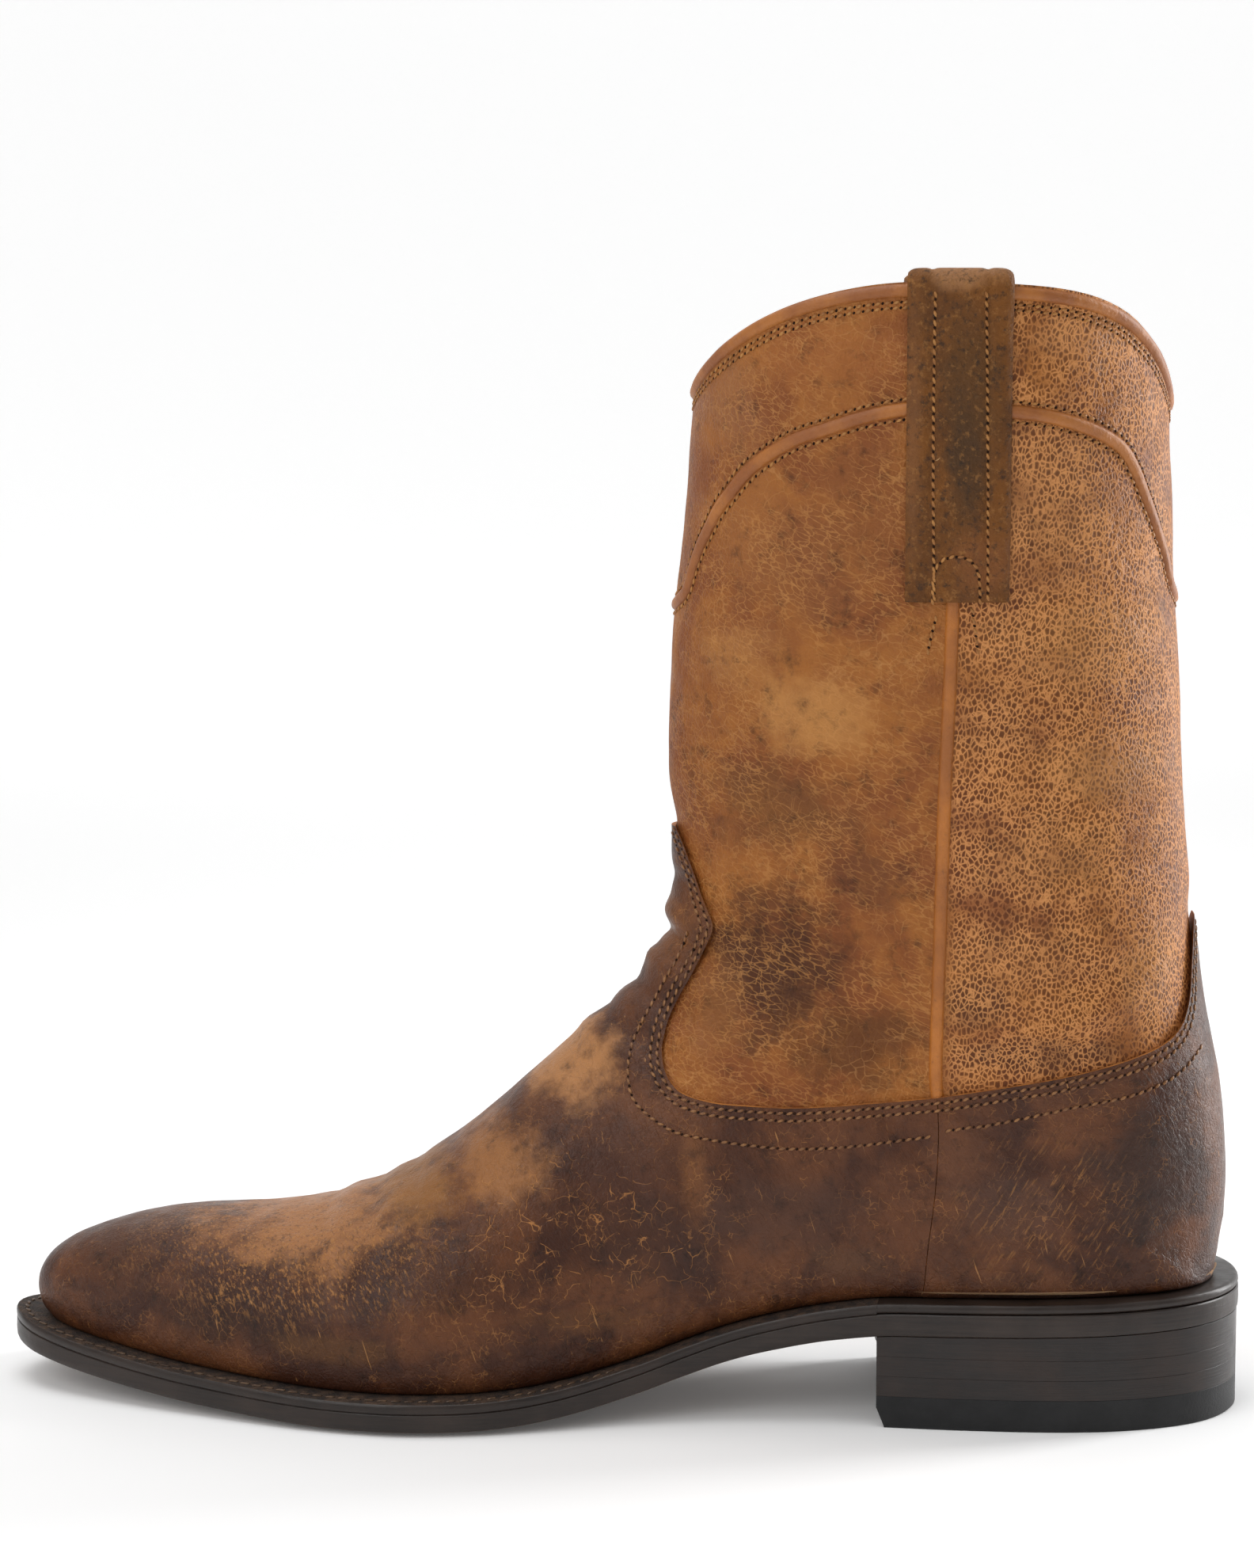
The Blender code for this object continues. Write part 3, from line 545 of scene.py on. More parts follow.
def section_line(front, end, half, ridge_y, widest, arch):
    """The half section set between its two end points in the side view."""
    points = []
    reach = math.hypot(1, ARCH_SOFTNESS) - ARCH_SOFTNESS
    for i, (share, y) in enumerate(half):
        x = front[0] + (end[0] - front[0]) * share
        z = front[1] + (end[1] - front[1]) * share
        if arch:
            sideways = abs(y - ridge_y) / abs(widest - ridge_y)
            sideways = (math.hypot(sideways, ARCH_SOFTNESS) - ARCH_SOFTNESS) / reach
            if i <= TOP_STEPS:
                z += arch * sideways**ARCH_FRONT
            else:
                z += arch * (1 - (1 - sideways) ** ARCH_BACK)
        points.append((x, y, z))
    return points


def swing_at(x):
    """Sideways place of the ridge, which swings to the inner side towards the toe."""
    share = max(0.0, min(1.0, -x / LENGTH / (TOE_TIP[0] - 0.5)))
    return TOE_SWING * share * share * (3 - 2 * share)


def foot_line(plan, at, inner):
    row = dict(zip(FOOT_COLUMNS, between_rows(FOOT_SECTIONS, at)))
    turn = 1 if inner else -1
    feather = plan.along_side(inner, FEATHER_TUCK)
    margin = plan.along_side(inner, FEATHER_TUCK + LASTING_MARGIN)
    widest_run = plan.along_side(inner, 0)
    numbers = np.arange(len(feather))
    toe_x = feather[0, 0]
    back_x = feather[-1, 0]
    end_share = min(max(row["end"], 0.0), 1.0)
    end_x = back_x + (toe_x - back_x) * end_share
    place = np.interp(end_x, feather[:, 0], numbers)
    end_y = np.interp(place, numbers, feather[:, 1])
    front = (x_of(row["front"]), INSTEP_HEIGHT * row["up"])
    end = (end_x, feather_height(end_x))
    wide_x = front[0] + (end[0] - front[0]) * row["low"]
    ridge_y = swing_at(front[0])
    outline_y = np.interp(wide_x, widest_run[:, 0], widest_run[:, 1])
    widest = outline_y * row["wide"]
    if wide_x > toe_x + TOE_REGION:
        # Behind the toe the side of the foot always bulges out past its feather.
        widest = turn * max(turn * widest, turn * end_y + SIDE_BULGE)
    half = half_section(ridge_y, widest, row["low"], end_y, row["top"], row["side"])
    line = section_line(front, end, half, ridge_y, widest, 0.0)
    margin_x = np.interp(place, numbers, margin[:, 0])
    margin_y = np.interp(place, numbers, margin[:, 1])
    line.append((margin_x, margin_y, feather_height(margin_x)))
    return line


def shaft_line(at, inner):
    """A hoop's half. Its last point stands twice, so that every line has as many points."""
    row = dict(zip(SHAFT_COLUMNS, between_rows(SHAFT_SECTIONS, at)))
    turn = 1 if inner else -1
    back_x = x_of(row["back"])
    seat = feather_height(x_of(HEEL_BACK[0]))
    front = (x_of(row["front"]), INSTEP_HEIGHT + (COLLAR_HEIGHT - INSTEP_HEIGHT) * row["up"])
    end = (back_x, seat + (COLLAR_HEIGHT - seat) * row["rise"])
    widest = turn * SHAFT_WIDTH * row["wide"]
    half = half_section(0.0, widest, row["low"], 0.0, row["top"], row["side"])
    line = section_line(front, end, half, 0.0, widest, COLLAR_ARCH * row["arch"])
    return line + line[-1:]


def upper_grid(plan):
    """The upper's outer surface: rows from the toe to the collar, columns from outer to inner side."""
    rows = []
    last = len(FOOT_SECTIONS) - 1
    even = np.linspace(0, last - HEEL_TURN_SECTIONS, FOOT_ROWS - HEEL_TURN_ROWS + 1)
    # Where the feather turns round the back of the heel the sections draw closer and closer.
    closer = last - HEEL_TURN_SECTIONS * (1 - np.linspace(0, 1, HEEL_TURN_ROWS + 1)[1:]) ** 2
    for at in [*even, *closer]:
        at = float(at)
        rows.append(foot_line(plan, at, False)[::-1] + foot_line(plan, at, True)[1:])
    for i in range(SHAFT_ROWS):
        at = (len(SHAFT_SECTIONS) - 1) * i / (SHAFT_ROWS - 1)
        rows.append(shaft_line(at, False)[::-1] + shaft_line(at, True)[1:])
    return blended_at_ankle(np.array(rows))


def blended_at_ankle(points):
    """Evens out the surface where the foot's sections meet the shaft's. The feather keeps its place."""
    points = points.copy()
    first = FOOT_ROWS + 1 - ANKLE_BLEND_ROWS
    last = FOOT_ROWS + ANKLE_BLEND_ROWS
    columns = np.arange(points.shape[1])
    inward = np.minimum(columns, columns[::-1])
    share = np.clip((inward - ANKLE_BLEND_MARGIN) / ANKLE_BLEND_FADE, 0, 1)[None, :, None]
    for _ in range(ANKLE_BLEND_PASSES):
        middle = points[first : last + 1]
        even = (points[first - 1 : last] + points[first + 1 : last + 2]) / 2
        points[first : last + 1] = middle + 0.5 * share * (even - middle)
    return points


# Folds and wrinkles of the leather, in millimetres of the side view.
# Each runs from (x1, z1) to (x2, z2), bowed sideways in the middle.
# wide: half width. rise: height, less than 0 for a trough.
FOLD_COLUMNS = ("x1", "z1", "x2", "z2", "bow", "wide", "rise")
VAMP_FOLDS = (
    # where the vamp breaks against the front of the leg
    (-4, 110, 24, 96, -2.0, 2.6, -1.1),
    (0, 116, 27, 104, -2.5, 2.4, 1.1),
    (6, 121, 25, 112, -1.5, 2.0, -1.4),
    (4, 128, 24, 118, -2.0, 2.8, 1.3),
    (6, 135, 22, 127, -1.0, 2.2, -0.7),
    (-14, 99, 14, 82, -3.0, 3.2, 0.8),
    (-9, 104, 16, 88, -2.5, 2.0, -0.6),
    # the vamp's flex over the ball
    (-50, 62, -58, 30, 3.0, 2.2, -0.55),
    (-60, 58, -70, 26, 3.0, 2.2, -0.5),
    (-71, 55, -82, 26, 2.5, 2.0, -0.45),
    (-55, 60, -64, 28, 3.0, 2.4, 0.45),
    (-66, 57, -76, 27, 2.5, 2.2, 0.4),
    (-40, 66, -46, 34, 4.0, 2.6, -0.4),
    # the throat of the vamp, down towards the waist
    (12, 70, 26, 38, 3.0, 2.0, -0.7),
    (17, 72, 31, 42, 3.0, 2.0, 0.55),
    (22, 68, 36, 46, 2.0, 1.8, -0.45),
    (-6, 74, 8, 44, 3.0, 2.4, -0.35),
)
SHAFT_FOLDS = (
    # the back of the shaft sagging over the counter
    (84, 97, 136, 110, -3.0, 4.2, 1.7),
    (80, 89, 134, 99, -3.5, 3.0, -1.3),
    (92, 105, 138, 120, -3.0, 3.2, -0.8),
    (98, 112, 139, 127, -2.5, 3.0, 0.5),
    # wrinkles across the back of the ankle and of the leg
    (96, 132, 139, 136, 2.0, 2.2, -0.55),
    (99, 140, 138, 143, 1.5, 2.4, 0.5),
    (104, 148, 138, 150, -1.5, 2.0, -0.5),
    (92, 160, 137, 166, 2.0, 2.4, -0.5),
    (95, 168, 137, 173, 2.0, 2.6, 0.55),
    (88, 177, 136, 182, 2.5, 2.2, -0.6),
    (93, 185, 134, 190, 2.0, 2.6, 0.5),
    (98, 192, 135, 199, 1.5, 2.0, -0.4),
    # soft waves down the front of the leg
    (18, 150, 66, 132, 3.0, 5.0, -0.5),
    (17, 172, 60, 160, 2.0, 6.0, 0.5),
    (30, 96, 76, 88, -2.0, 3.4, 0.7),
    (34, 104, 77, 97, -2.0, 3.0, -0.5),
)


def fold_relief(points, folds):
    """Height of the folds at the points, in metres."""
    x = points[..., 0] / MM
    z = points[..., 2] / MM
    total = np.zeros(x.shape)
    for row in folds:
        fold = dict(zip(FOLD_COLUMNS, row))
        along = np.array([fold["x2"] - fold["x1"], fold["z2"] - fold["z1"]], float)
        length = np.linalg.norm(along)
        along /= length
        share = ((x - fold["x1"]) * along[0] + (z - fold["z1"]) * along[1]) / length
        aside = -(x - fold["x1"]) * along[1] + (z - fold["z1"]) * along[0]
        aside = aside - fold["bow"] * 4 * share * (1 - share)
        fade = np.clip(1.3 * (1 - (2 * share - 1) ** 2), 0, 1) ** 1.5
        fade = np.where((share < 0) | (share > 1), 0, fade)
        total += fold["rise"] * np.exp(-((aside / fold["wide"]) ** 2)) * fade
    return total * MM


def wave_relief(points):
    """Slow waves and small ripples that no leather on a last is free of."""
    flat = points.reshape(-1, 3)
    total = np.zeros(len(flat))
    for i, point in enumerate(flat):
        spot = Vector(point)
        total[i] = WAVE_RISE * noise.noise(spot / WAVE_SIZE) + RIPPLE_RISE * noise.noise(spot / RIPPLE_SIZE)
    return total.reshape(points.shape[:-1])


def grid_normals(points):
    """Outward directions at the points of the upper's grid, shared where points coincide."""
    count = points.shape[0] * points.shape[1]
    _, same = np.unique(np.round(points.reshape(-1, 3), 6), axis=0, return_inverse=True)
    same = same.reshape(points.shape[:2])
    a = points[:-1, :-1]
    b = points[:-1, 1:]
    c = points[1:, 1:]
    d = points[1:, :-1]
    facing = np.cross(d - b, c - a)
    total = np.zeros((count, 3))
    for corner in (same[:-1, :-1], same[:-1, 1:], same[1:, 1:], same[1:, :-1]):
        np.add.at(total, corner.reshape(-1), facing.reshape(-1, 3))
    length = np.linalg.norm(total, axis=1)
    total[length > 0] /= length[length > 0][:, None]
    return total[same]


class Camera:
    """The photograph's camera as plain numbers, for placing what the photograph shows."""

    def __init__(self):
        self.right = np.array([math.cos(CAMERA_TURN), math.sin(CAMERA_TURN), 0])
        level = np.array([-math.sin(CAMERA_TURN), math.cos(CAMERA_TURN), 0])
        self.place = np.array([CAMERA_ASIDE, 0, CAMERA_HEIGHT]) - CAMERA_DISTANCE * level
        self.forward = level * math.cos(CAMERA_PITCH) - np.array([0, 0, math.sin(CAMERA_PITCH)])
        self.up = level * math.sin(CAMERA_PITCH) + np.array([0, 0, math.cos(CAMERA_PITCH)])

    def ray(self, pixel):
        aside = (pixel[0] - PHOTO_SIZE[0] / 2) / FOCAL_PIXELS
        above = (PHOTO_SIZE[1] / 2 - pixel[1]) / FOCAL_PIXELS
        return Vector(self.forward + aside * self.right + above * self.up).normalized()


class Skin:
    """The upper's outer surface as a grid that seams, bands and stitches are laid on."""

    def __init__(self, points, camera):
        self.points = points
        self.normals = grid_normals(points)
        self.rows, self.columns = points.shape[:2]
        self.camera = camera
        corners = [tuple(point) for point in points.reshape(-1, 3)]
        faces = []
        for i in range(self.rows - 1):
            for j in range(self.columns - 1):
                at = i * self.columns + j
                faces.append((at, at + 1, at + 1 + self.columns, at + self.columns))
        self.tree = BVHTree.FromPolygons(corners, faces)

    def place_of(self, point, face):
        """Grid place, row and column, of a point on a face."""
        i, j = divmod(face, self.columns - 1)
        start = self.points[i, j]
        across = self.points[i, j + 1] - start
        along = self.points[i + 1, j] - start
        shares = np.linalg.lstsq(np.stack([along, across], axis=1), np.array(point) - start, rcond=None)[0]
        return np.array([i, j]) + np.clip(shares, 0, 1)

    def seen(self, pixel):
        """Place that a pixel of the photograph shows."""
        hit, _, face, _ = self.tree.ray_cast(Vector(self.camera.place), self.camera.ray(pixel))
        return None if hit is None else self.place_of(hit, face)

    def nearest(self, point):
        hit, _, face, _ = self.tree.find_nearest(Vector(point))
        return self.place_of(hit, face)

    def read(self, grid, place):
        row = min(max(place[0], 0), self.rows - 1.001)
        column = min(max(place[1], 0), self.columns - 1.001)
        i = int(row)
        j = int(column)
        t = row - i
        s = column - j
        return (1 - t) * ((1 - s) * grid[i, j] + s * grid[i, j + 1]) + t * (
            (1 - s) * grid[i + 1, j] + s * grid[i + 1, j + 1]
        )

    def point(self, place):
        return self.read(self.points, place)

    def normal(self, place):
        normal = self.read(self.normals, place)
        return normal / np.linalg.norm(normal)

    def other_side(self, places):
        return [np.array([row, self.columns - 1 - column]) for row, column in places]

    def middle_at(self, column, z):
        """Place at a height on the line down the middle of the front or of the back of the leg."""
        rows = np.arange(FOOT_ROWS, self.rows)
        return np.array([np.interp(z, self.points[rows, column, 2], rows), column])

    def run(self, pixels, steps=6):
        """Places along a smooth line through pixels of the photograph."""
        places = []
        for at in np.linspace(0, len(pixels) - 1, (len(pixels) - 1) * steps + 1):
            place = self.seen(between_rows(pixels, float(at)))
            if place is not None:
                places.append(place)
        return places

    def carried_on(self, places, column, drop, steps=10):
        """The line carried on round the leg to its middle line, drop lower than the line's last point."""
        last = places[-1]
        goal = self.middle_at(column, self.point(last)[2] - drop)
        extra = []
        for step in range(1, steps + 1):
            t = step / steps
            row = last[0] + (goal[0] - last[0]) * math.sin(t * math.pi / 2)
            extra.append(np.array([row, last[1] + (goal[1] - last[1]) * t]))
        return places + extra

    def spaced(self, places, pitch):
        """Points, normals and directions every pitch along the places."""
        points = np.array([self.point(place) for place in places])
        lengths = step_lengths(points)
        count = max(2, int(round(lengths[-1] / pitch)) + 1)
        at = np.interp(np.linspace(0, lengths[-1], count), lengths, np.arange(len(places)))
        places = np.array(places)
        numbers = np.arange(len(places))
        spots = np.stack([np.interp(at, numbers, places[:, 0]), np.interp(at, numbers, places[:, 1])], axis=1)
        points = np.array([self.point(spot) for spot in spots])
        normals = np.array([self.normal(spot) for spot in spots])
        along = np.gradient(points, axis=0)
        along /= np.linalg.norm(along, axis=1)[:, None]
        return points, normals, along

    def beside(self, places, distance):
        """The line moved sideways over the surface, to its right as seen from outside and along it."""
        points, normals, along = self.spaced(places, BESIDE_STEP)
        aside = np.cross(along, normals)
        return [self.nearest(point) for point in points + aside * distance]


def sheet_builder(points, closed_across=False):
    """A sheet whose corners lie at the points, given as rows by columns."""
    points = np.asarray(points, float)
    if closed_across:
        points = np.concatenate([points, points[:, :1]], axis=1)
    rows, columns = points.shape[:2]
    builder = bmesh.new()
    bmesh.ops.create_grid(builder, x_segments=columns - 1, y_segments=rows - 1, size=1)
    builder.verts.ensure_lookup_table()
    for vert, point in zip(builder.verts, points.reshape(-1, 3)):
        vert.co = point
    return builder


def merged(builder):
    bmesh.ops.remove_doubles(builder, verts=builder.verts[:], dist=MERGE_DISTANCE)
    bmesh.ops.dissolve_degenerate(builder, edges=builder.edges[:], dist=MERGE_DISTANCE)
    return builder


def open_edges(builder):
    return [edge for edge in builder.edges if edge.is_boundary]


def turned_outward(builder):
    bmesh.ops.recalc_face_normals(builder, faces=builder.faces[:])
    return builder


def with_closed_ends(builder):
    bmesh.ops.holes_fill(builder, edges=open_edges(builder), sides=0)
    return turned_outward(builder)


def joined(builders):
    """One builder that holds all the others."""
    whole = bmesh.new()
    for builder in builders:
        mesh = bpy.data.meshes.new("part")
        builder.to_mesh(mesh)
        builder.free()
        whole.from_mesh(mesh)
        bpy.data.meshes.remove(mesh)
    return whole


def shown(name, builder, material, sharp=SURFACE_EDGE):
    """Adds the finished shape as an object, shaded smooth except at edges sharper than sharp degrees."""
    mesh = bpy.data.meshes.new(name)
    builder.to_mesh(mesh)
    builder.free()
    mesh.shade_smooth()
    mesh.set_sharp_from_angle(angle=math.radians(sharp))
    obj = bpy.data.objects.new(name, mesh)
    bpy.context.scene.collection.objects.link(obj)
    for each in material if isinstance(material, (list, tuple)) else [material]:
        mesh.materials.append(each)
    return obj


def step_lengths(points):
    """Length along a line of points, up to each of them."""
    return np.concatenate([[0], np.cumsum(np.linalg.norm(np.diff(points, axis=0), axis=1))])


# Finishes
def linear(hex_colour):
    """An sRGB hex colour as linear red, green, blue and alpha."""
    values = [int(hex_colour[i : i + 2], 16) / 255 for i in (1, 3, 5)]
    return (*[v / 12.92 if v <= 0.04045 else ((v + 0.055) / 1.055) ** 2.4 for v in values], 1)


def add(tree, kind, inputs=None, **settings):
    """Adds a node with its settings. Each input is a value or a socket to link."""
    made = tree.nodes.new(kind)
    for name, value in settings.items():
        setattr(made, name, value)
    for name, value in (inputs or {}).items():
        if isinstance(value, bpy.types.NodeSocket):
            tree.links.new(value, made.inputs[name])
        else:
            made.inputs[name].default_value = value
    return made


class Finish:
    """A material being built: its node tree, its pattern space in millimetres, its colour and its relief."""

    def __init__(self, name):
        self.material = bpy.data.materials.new(name)
        self.material.use_nodes = True
        self.tree = self.material.node_tree
        self.shader = self.tree.nodes["Principled BSDF"]
        object_space = add(self.tree, "ShaderNodeTexCoord").outputs["Object"]
        self.space = add(self.tree, "ShaderNodeMapping", {0: object_space, 3: (1000, 1000, 1000)}).outputs[0]
        self.ragged = None
        self.colour = None
        self.height = None

    def turned_space(self, turn, stretch):
        """The pattern space turned about Y by degrees, then stretched."""
        inputs = {0: self.space, 2: (0, math.radians(turn), 0)}
        turned = add(self.tree, "ShaderNodeMapping", inputs).outputs[0]
        return add(self.tree, "ShaderNodeMapping", {0: turned, 3: [1 / s for s in stretch]}).outputs[0]

    def blotches(self, size, low, high, start=0.0, stop=1.0, detail=4, rough=0.6, twist=0.0, space=None):
        """Soft random blotches of a size in millimetres. Low becomes start, and high becomes stop."""
        inputs = {"Vector": space or self.space, "Scale": 1 / size, "Detail": detail, "Roughness": rough}
        inputs["Distortion"] = twist
        noise_value = add(self.tree, "ShaderNodeTexNoise", inputs).outputs[0]
        inputs = {0: noise_value, 1: low, 2: high, 3: start, 4: stop}
        return add(self.tree, "ShaderNodeMapRange", inputs, interpolation_type="SMOOTHSTEP").outputs[0]

    def net(self, size, warp, reach, at_line=1.0, between=0.0, space=None):
        """Crooked lines between cells of a size in millimetres. They fade out at reach, a share of a cell."""
        space = space or self.space
        inputs = {"Vector": space, "Scale": 0.7 / size}
        crooked = add(self.tree, "ShaderNodeTexNoise", inputs).outputs[1]
        inputs = {0: crooked, 1: (warp, warp, warp), 2: space}
        space = add(self.tree, "ShaderNodeVectorMath", inputs, operation="MULTIPLY_ADD").outputs[0]
        inputs = {"Vector": space, "Scale": 1 / size}
        border = add(self.tree, "ShaderNodeTexVoronoi", inputs, feature="DISTANCE_TO_EDGE").outputs[0]
        inputs = {0: border, 1: 0.0, 2: reach, 3: at_line, 4: between}
        return add(self.tree, "ShaderNodeMapRange", inputs, interpolation_type="SMOOTHSTEP").outputs[0]

    def patch(self, x, z, wide, tall, rag=0.9):
        """Mask of a ragged patch centred at x, z of the side view, from 0 outside to 1 in its middle."""
        if self.ragged is None:
            inputs = {"Vector": self.space, "Scale": 1 / 9, "Detail": 5.0, "Roughness": 0.62}
            self.ragged = add(self.tree, "ShaderNodeTexNoise", inputs).outputs[0]
        inputs = {0: self.space, 1: (-x / wide, 0, -z / tall), 3: (1 / wide, 0, 1 / tall)}
        spot = add(self.tree, "ShaderNodeMapping", inputs).outputs[0]
        reach = add(self.tree, "ShaderNodeVectorMath", {0: spot}, operation="LENGTH").outputs["Value"]
        inputs = {0: self.ragged, 1: rag * 2, 2: reach}
        ragged_reach = add(self.tree, "ShaderNodeMath", inputs, operation="MULTIPLY_ADD").outputs[0]
        inputs = {0: ragged_reach, 1: 1.15 + rag, 2: 0.35 + rag}
        return add(self.tree, "ShaderNodeMapRange", inputs, interpolation_type="SMOOTHSTEP").outputs[0]

    def ground(self, mask, first, second):
        """The two colours that everything else lies on."""
        inputs = {0: mask, 6: linear(first), 7: linear(second)}
        self.colour = add(self.tree, "ShaderNodeMix", inputs, data_type="RGBA").outputs[2]

    def tint(self, hex_colour, strength, *masks, blend="MIX"):
        """Lays a colour over what is there, as strongly as all the masks together say."""
        share = masks[0]
        for mask in masks[1:]:
            share = add(self.tree, "ShaderNodeMath", {0: share, 1: mask}, operation="MULTIPLY").outputs[0]
        if strength != 1:
            share = add(self.tree, "ShaderNodeMath", {0: share, 1: strength}, operation="MULTIPLY").outputs[0]
        inputs = {0: share, 6: self.colour, 7: linear(hex_colour)}
        made = add(self.tree, "ShaderNodeMix", inputs, data_type="RGBA", blend_type=blend)
        self.colour = made.outputs[2]

    def relief(self, value, amount):
        """Adds a pattern to the relief, amount millimetres high."""
        inputs = {0: value, 1: amount, 2: 0.0 if self.height is None else self.height}
        self.height = add(self.tree, "ShaderNodeMath", inputs, operation="MULTIPLY_ADD").outputs[0]

    def done(self, roughness, coat=0.0, coat_roughness=0.3, specular=0.5, sheen=0.0):
        """Links colour and relief and sets the gloss. Roughness is a number or a socket."""
        shader = self.shader
        self.tree.links.new(self.colour, shader.inputs["Base Color"])
        if isinstance(roughness, bpy.types.NodeSocket):
            self.tree.links.new(roughness, shader.inputs["Roughness"])
        else:
            shader.inputs["Roughness"].default_value = roughness
        shader.inputs["Specular IOR Level"].default_value = specular
        shader.inputs["Coat Weight"].default_value = coat
        shader.inputs["Coat Roughness"].default_value = coat_roughness
        shader.inputs["Sheen Weight"].default_value = sheen
        if self.height is not None:
            bump = add(self.tree, "ShaderNodeBump", {"Height": self.height, "Distance": MM, "Strength": 1.0})
            self.tree.links.new(bump.outputs[0], shader.inputs["Normal"])
        return self.material


# Patches of the distressed leather, among them one band of painted shade: x, z, half width and half height in
# millimetres, colour, strength
SHAFT_PATCHES = (
    (48, 172, 15, 11, "#b98146", 0.7),
    (30, 186, 12, 10, "#a8713c", 0.6),
    (44, 208, 20, 16, "#7a4826", 0.6),
    (62, 222, 15, 22, "#824c24", 0.7),
    (33, 218, 11, 18, "#955c2e", 0.5),
    (40, 150, 22, 12, "#68401f", 0.65),
    (60, 134, 14, 10, "#5f361d", 0.6),
    (38, 110, 24, 20, "#4a2814", 0.95),
    (56, 92, 22, 11, "#613818", 0.85),
    (24, 100, 9, 14, "#8f592b", 0.6),
    (52, 258, 22, 9, "#9c5e2c", 0.6),
    (28, 246, 10, 14, "#8d5c39", 0.6),
    (112, 262, 18, 10, "#b47a48", 0.65),
    (104, 222, 20, 24, "#a87244", 0.65),
    (112, 190, 22, 14, "#b07a46", 0.6),
    (92, 172, 12, 12, "#7c4a24", 0.6),
    (118, 160, 18, 10, "#b5804c", 0.55),
    (104, 140, 22, 12, "#9c6838", 0.6),
    (98, 116, 20, 10, "#8a5830", 0.55),
    (88, 104, 10, 8, "#5d3820", 0.7),
    # Painted shade: a dark band in the groove under the sagging shaft, just above the counter's edge.
    (104, 91, 24, 5, "#5b3822", 0.7),
    (128, 110, 8, 14, "#b07942", 0.55),
)
VAMP_PATCHES = (
    (-126, 38, 17, 16, "#4b2b1a", 0.8),
    (-112, 50, 22, 9, "#6e4628", 0.7),
    (-92, 24, 30, 8, "#331b10", 0.75),
    (-76, 46, 28, 12, "#a87040", 0.85),
    (-50, 55, 16, 9, "#99662f", 0.65),
    (-40, 36, 20, 9, "#3f2215", 0.7),
    (-28, 62, 14, 11, "#a26c3c", 0.7),
    (-12, 86, 16, 12, "#b47e4e", 0.85),
    (2, 60, 16, 16, "#4a2b1d", 0.7),
    (12, 44, 22, 12, "#3e2419", 0.75),
    (40, 52, 26, 12, "#4c3023", 0.7),
    (20, 60, 4, 13, "#7d4e2a", 0.55),
    (58, 40, 12, 6, "#5a3b26", 0.6),
    (96, 54, 16, 12, "#51362a", 0.6),
    (130, 62, 18, 22, "#38241c", 0.85),
    (84, 66, 7, 12, "#66402a", 0.5),
    (-66, 19, 20, 4, "#64401f", 0.5),
    (-6, 26, 18, 4, "#6b4322", 0.45),
    (10, 118, 12, 12, "#7c4c26", 0.6),
)

# Behind the side seam the shaft's leather is pebbled. Places and size in millimetres.
PEBBLED_FROM = 79.0
PEBBLED_FULLY = 82.0
PEBBLE_SIZE = 1.15


def clouded(finish, first, second, patches):
    """Wax that darkens the hide in clouds, and patches where it was rubbed back. One dark band among the
    shaft's patches is painted shade.
    """
    finish.ground(finish.blotches(22, 0.36, 0.66, detail=5, twist=0.5), first, second)
    for x, z, wide, tall, colour, strength in patches:
        finish.tint(colour, strength, finish.patch(x, z, wide, tall))
    finish.tint("#3a2012", 1, finish.blotches(5.5, 0.5, 0.78, 0, 0.7, detail=6, rough=0.7), blend="MULTIPLY")


def rubbed_shaft_leather(name):
    """Full-grain cowhide, drum dyed, waxed and rubbed back by hand.

    In front of the side seam it is smooth with fine wavy wrinkles. Behind it the hide is pebbled: pale lines,
    where the wax is rubbed off, run round dark pits of about 1 mm.
    """
    finish = Finish(name)
    clouded(finish, "#7d4520", "#9c602a", SHAFT_PATCHES)
    across = add(finish.tree, "ShaderNodeSeparateXYZ", {0: finish.space}).outputs[0]
    behind = add(finish.tree, "ShaderNodeMapRange", {0: across, 1: PEBBLED_FROM, 2: PEBBLED_FULLY}).outputs[0]
    before = add(finish.tree, "ShaderNodeMapRange", {0: across, 1: PEBBLED_FULLY, 2: PEBBLED_FROM}).outputs[0]
    upright = finish.turned_space(-6, (0.9, 0.9, 1.3))
    finish.tint("#4f2812", 0.68, finish.net(PEBBLE_SIZE, 0.5, 0.36, 0, 1, upright), behind)
    pale_lines = finish.net(PEBBLE_SIZE, 0.5, 0.2, 1, 0, upright)
    finish.tint("#d8965a", 0.75, pale_lines, behind, finish.blotches(12, 0.25, 0.6))
    sloping = finish.turned_space(-24, (2.4, 1, 0.8))
    wrinkles = finish.net(1.7, 2.4, 0.10, 1, 0, sloping)
    finish.tint("#bd8449", 0.5, wrinkles, before, finish.blotches(13, 0.32, 0.62, detail=5))
    finish.tint("#c08a52", 0.35, finish.net(3.6, 3.4, 0.035), before, finish.blotches(17, 0.42, 0.6))
    finish.relief(finish.net(PEBBLE_SIZE, 0.5, 0.34, 0, 1, upright), -0.10)
    finish.relief(wrinkles, 0.05)
    finish.relief(finish.blotches(3.0, 0.2, 0.8, detail=5), 0.22)
    return finish.done(finish.blotches(6, 0.3, 0.7, 0.44, 0.60, detail=5), specular=0.22)


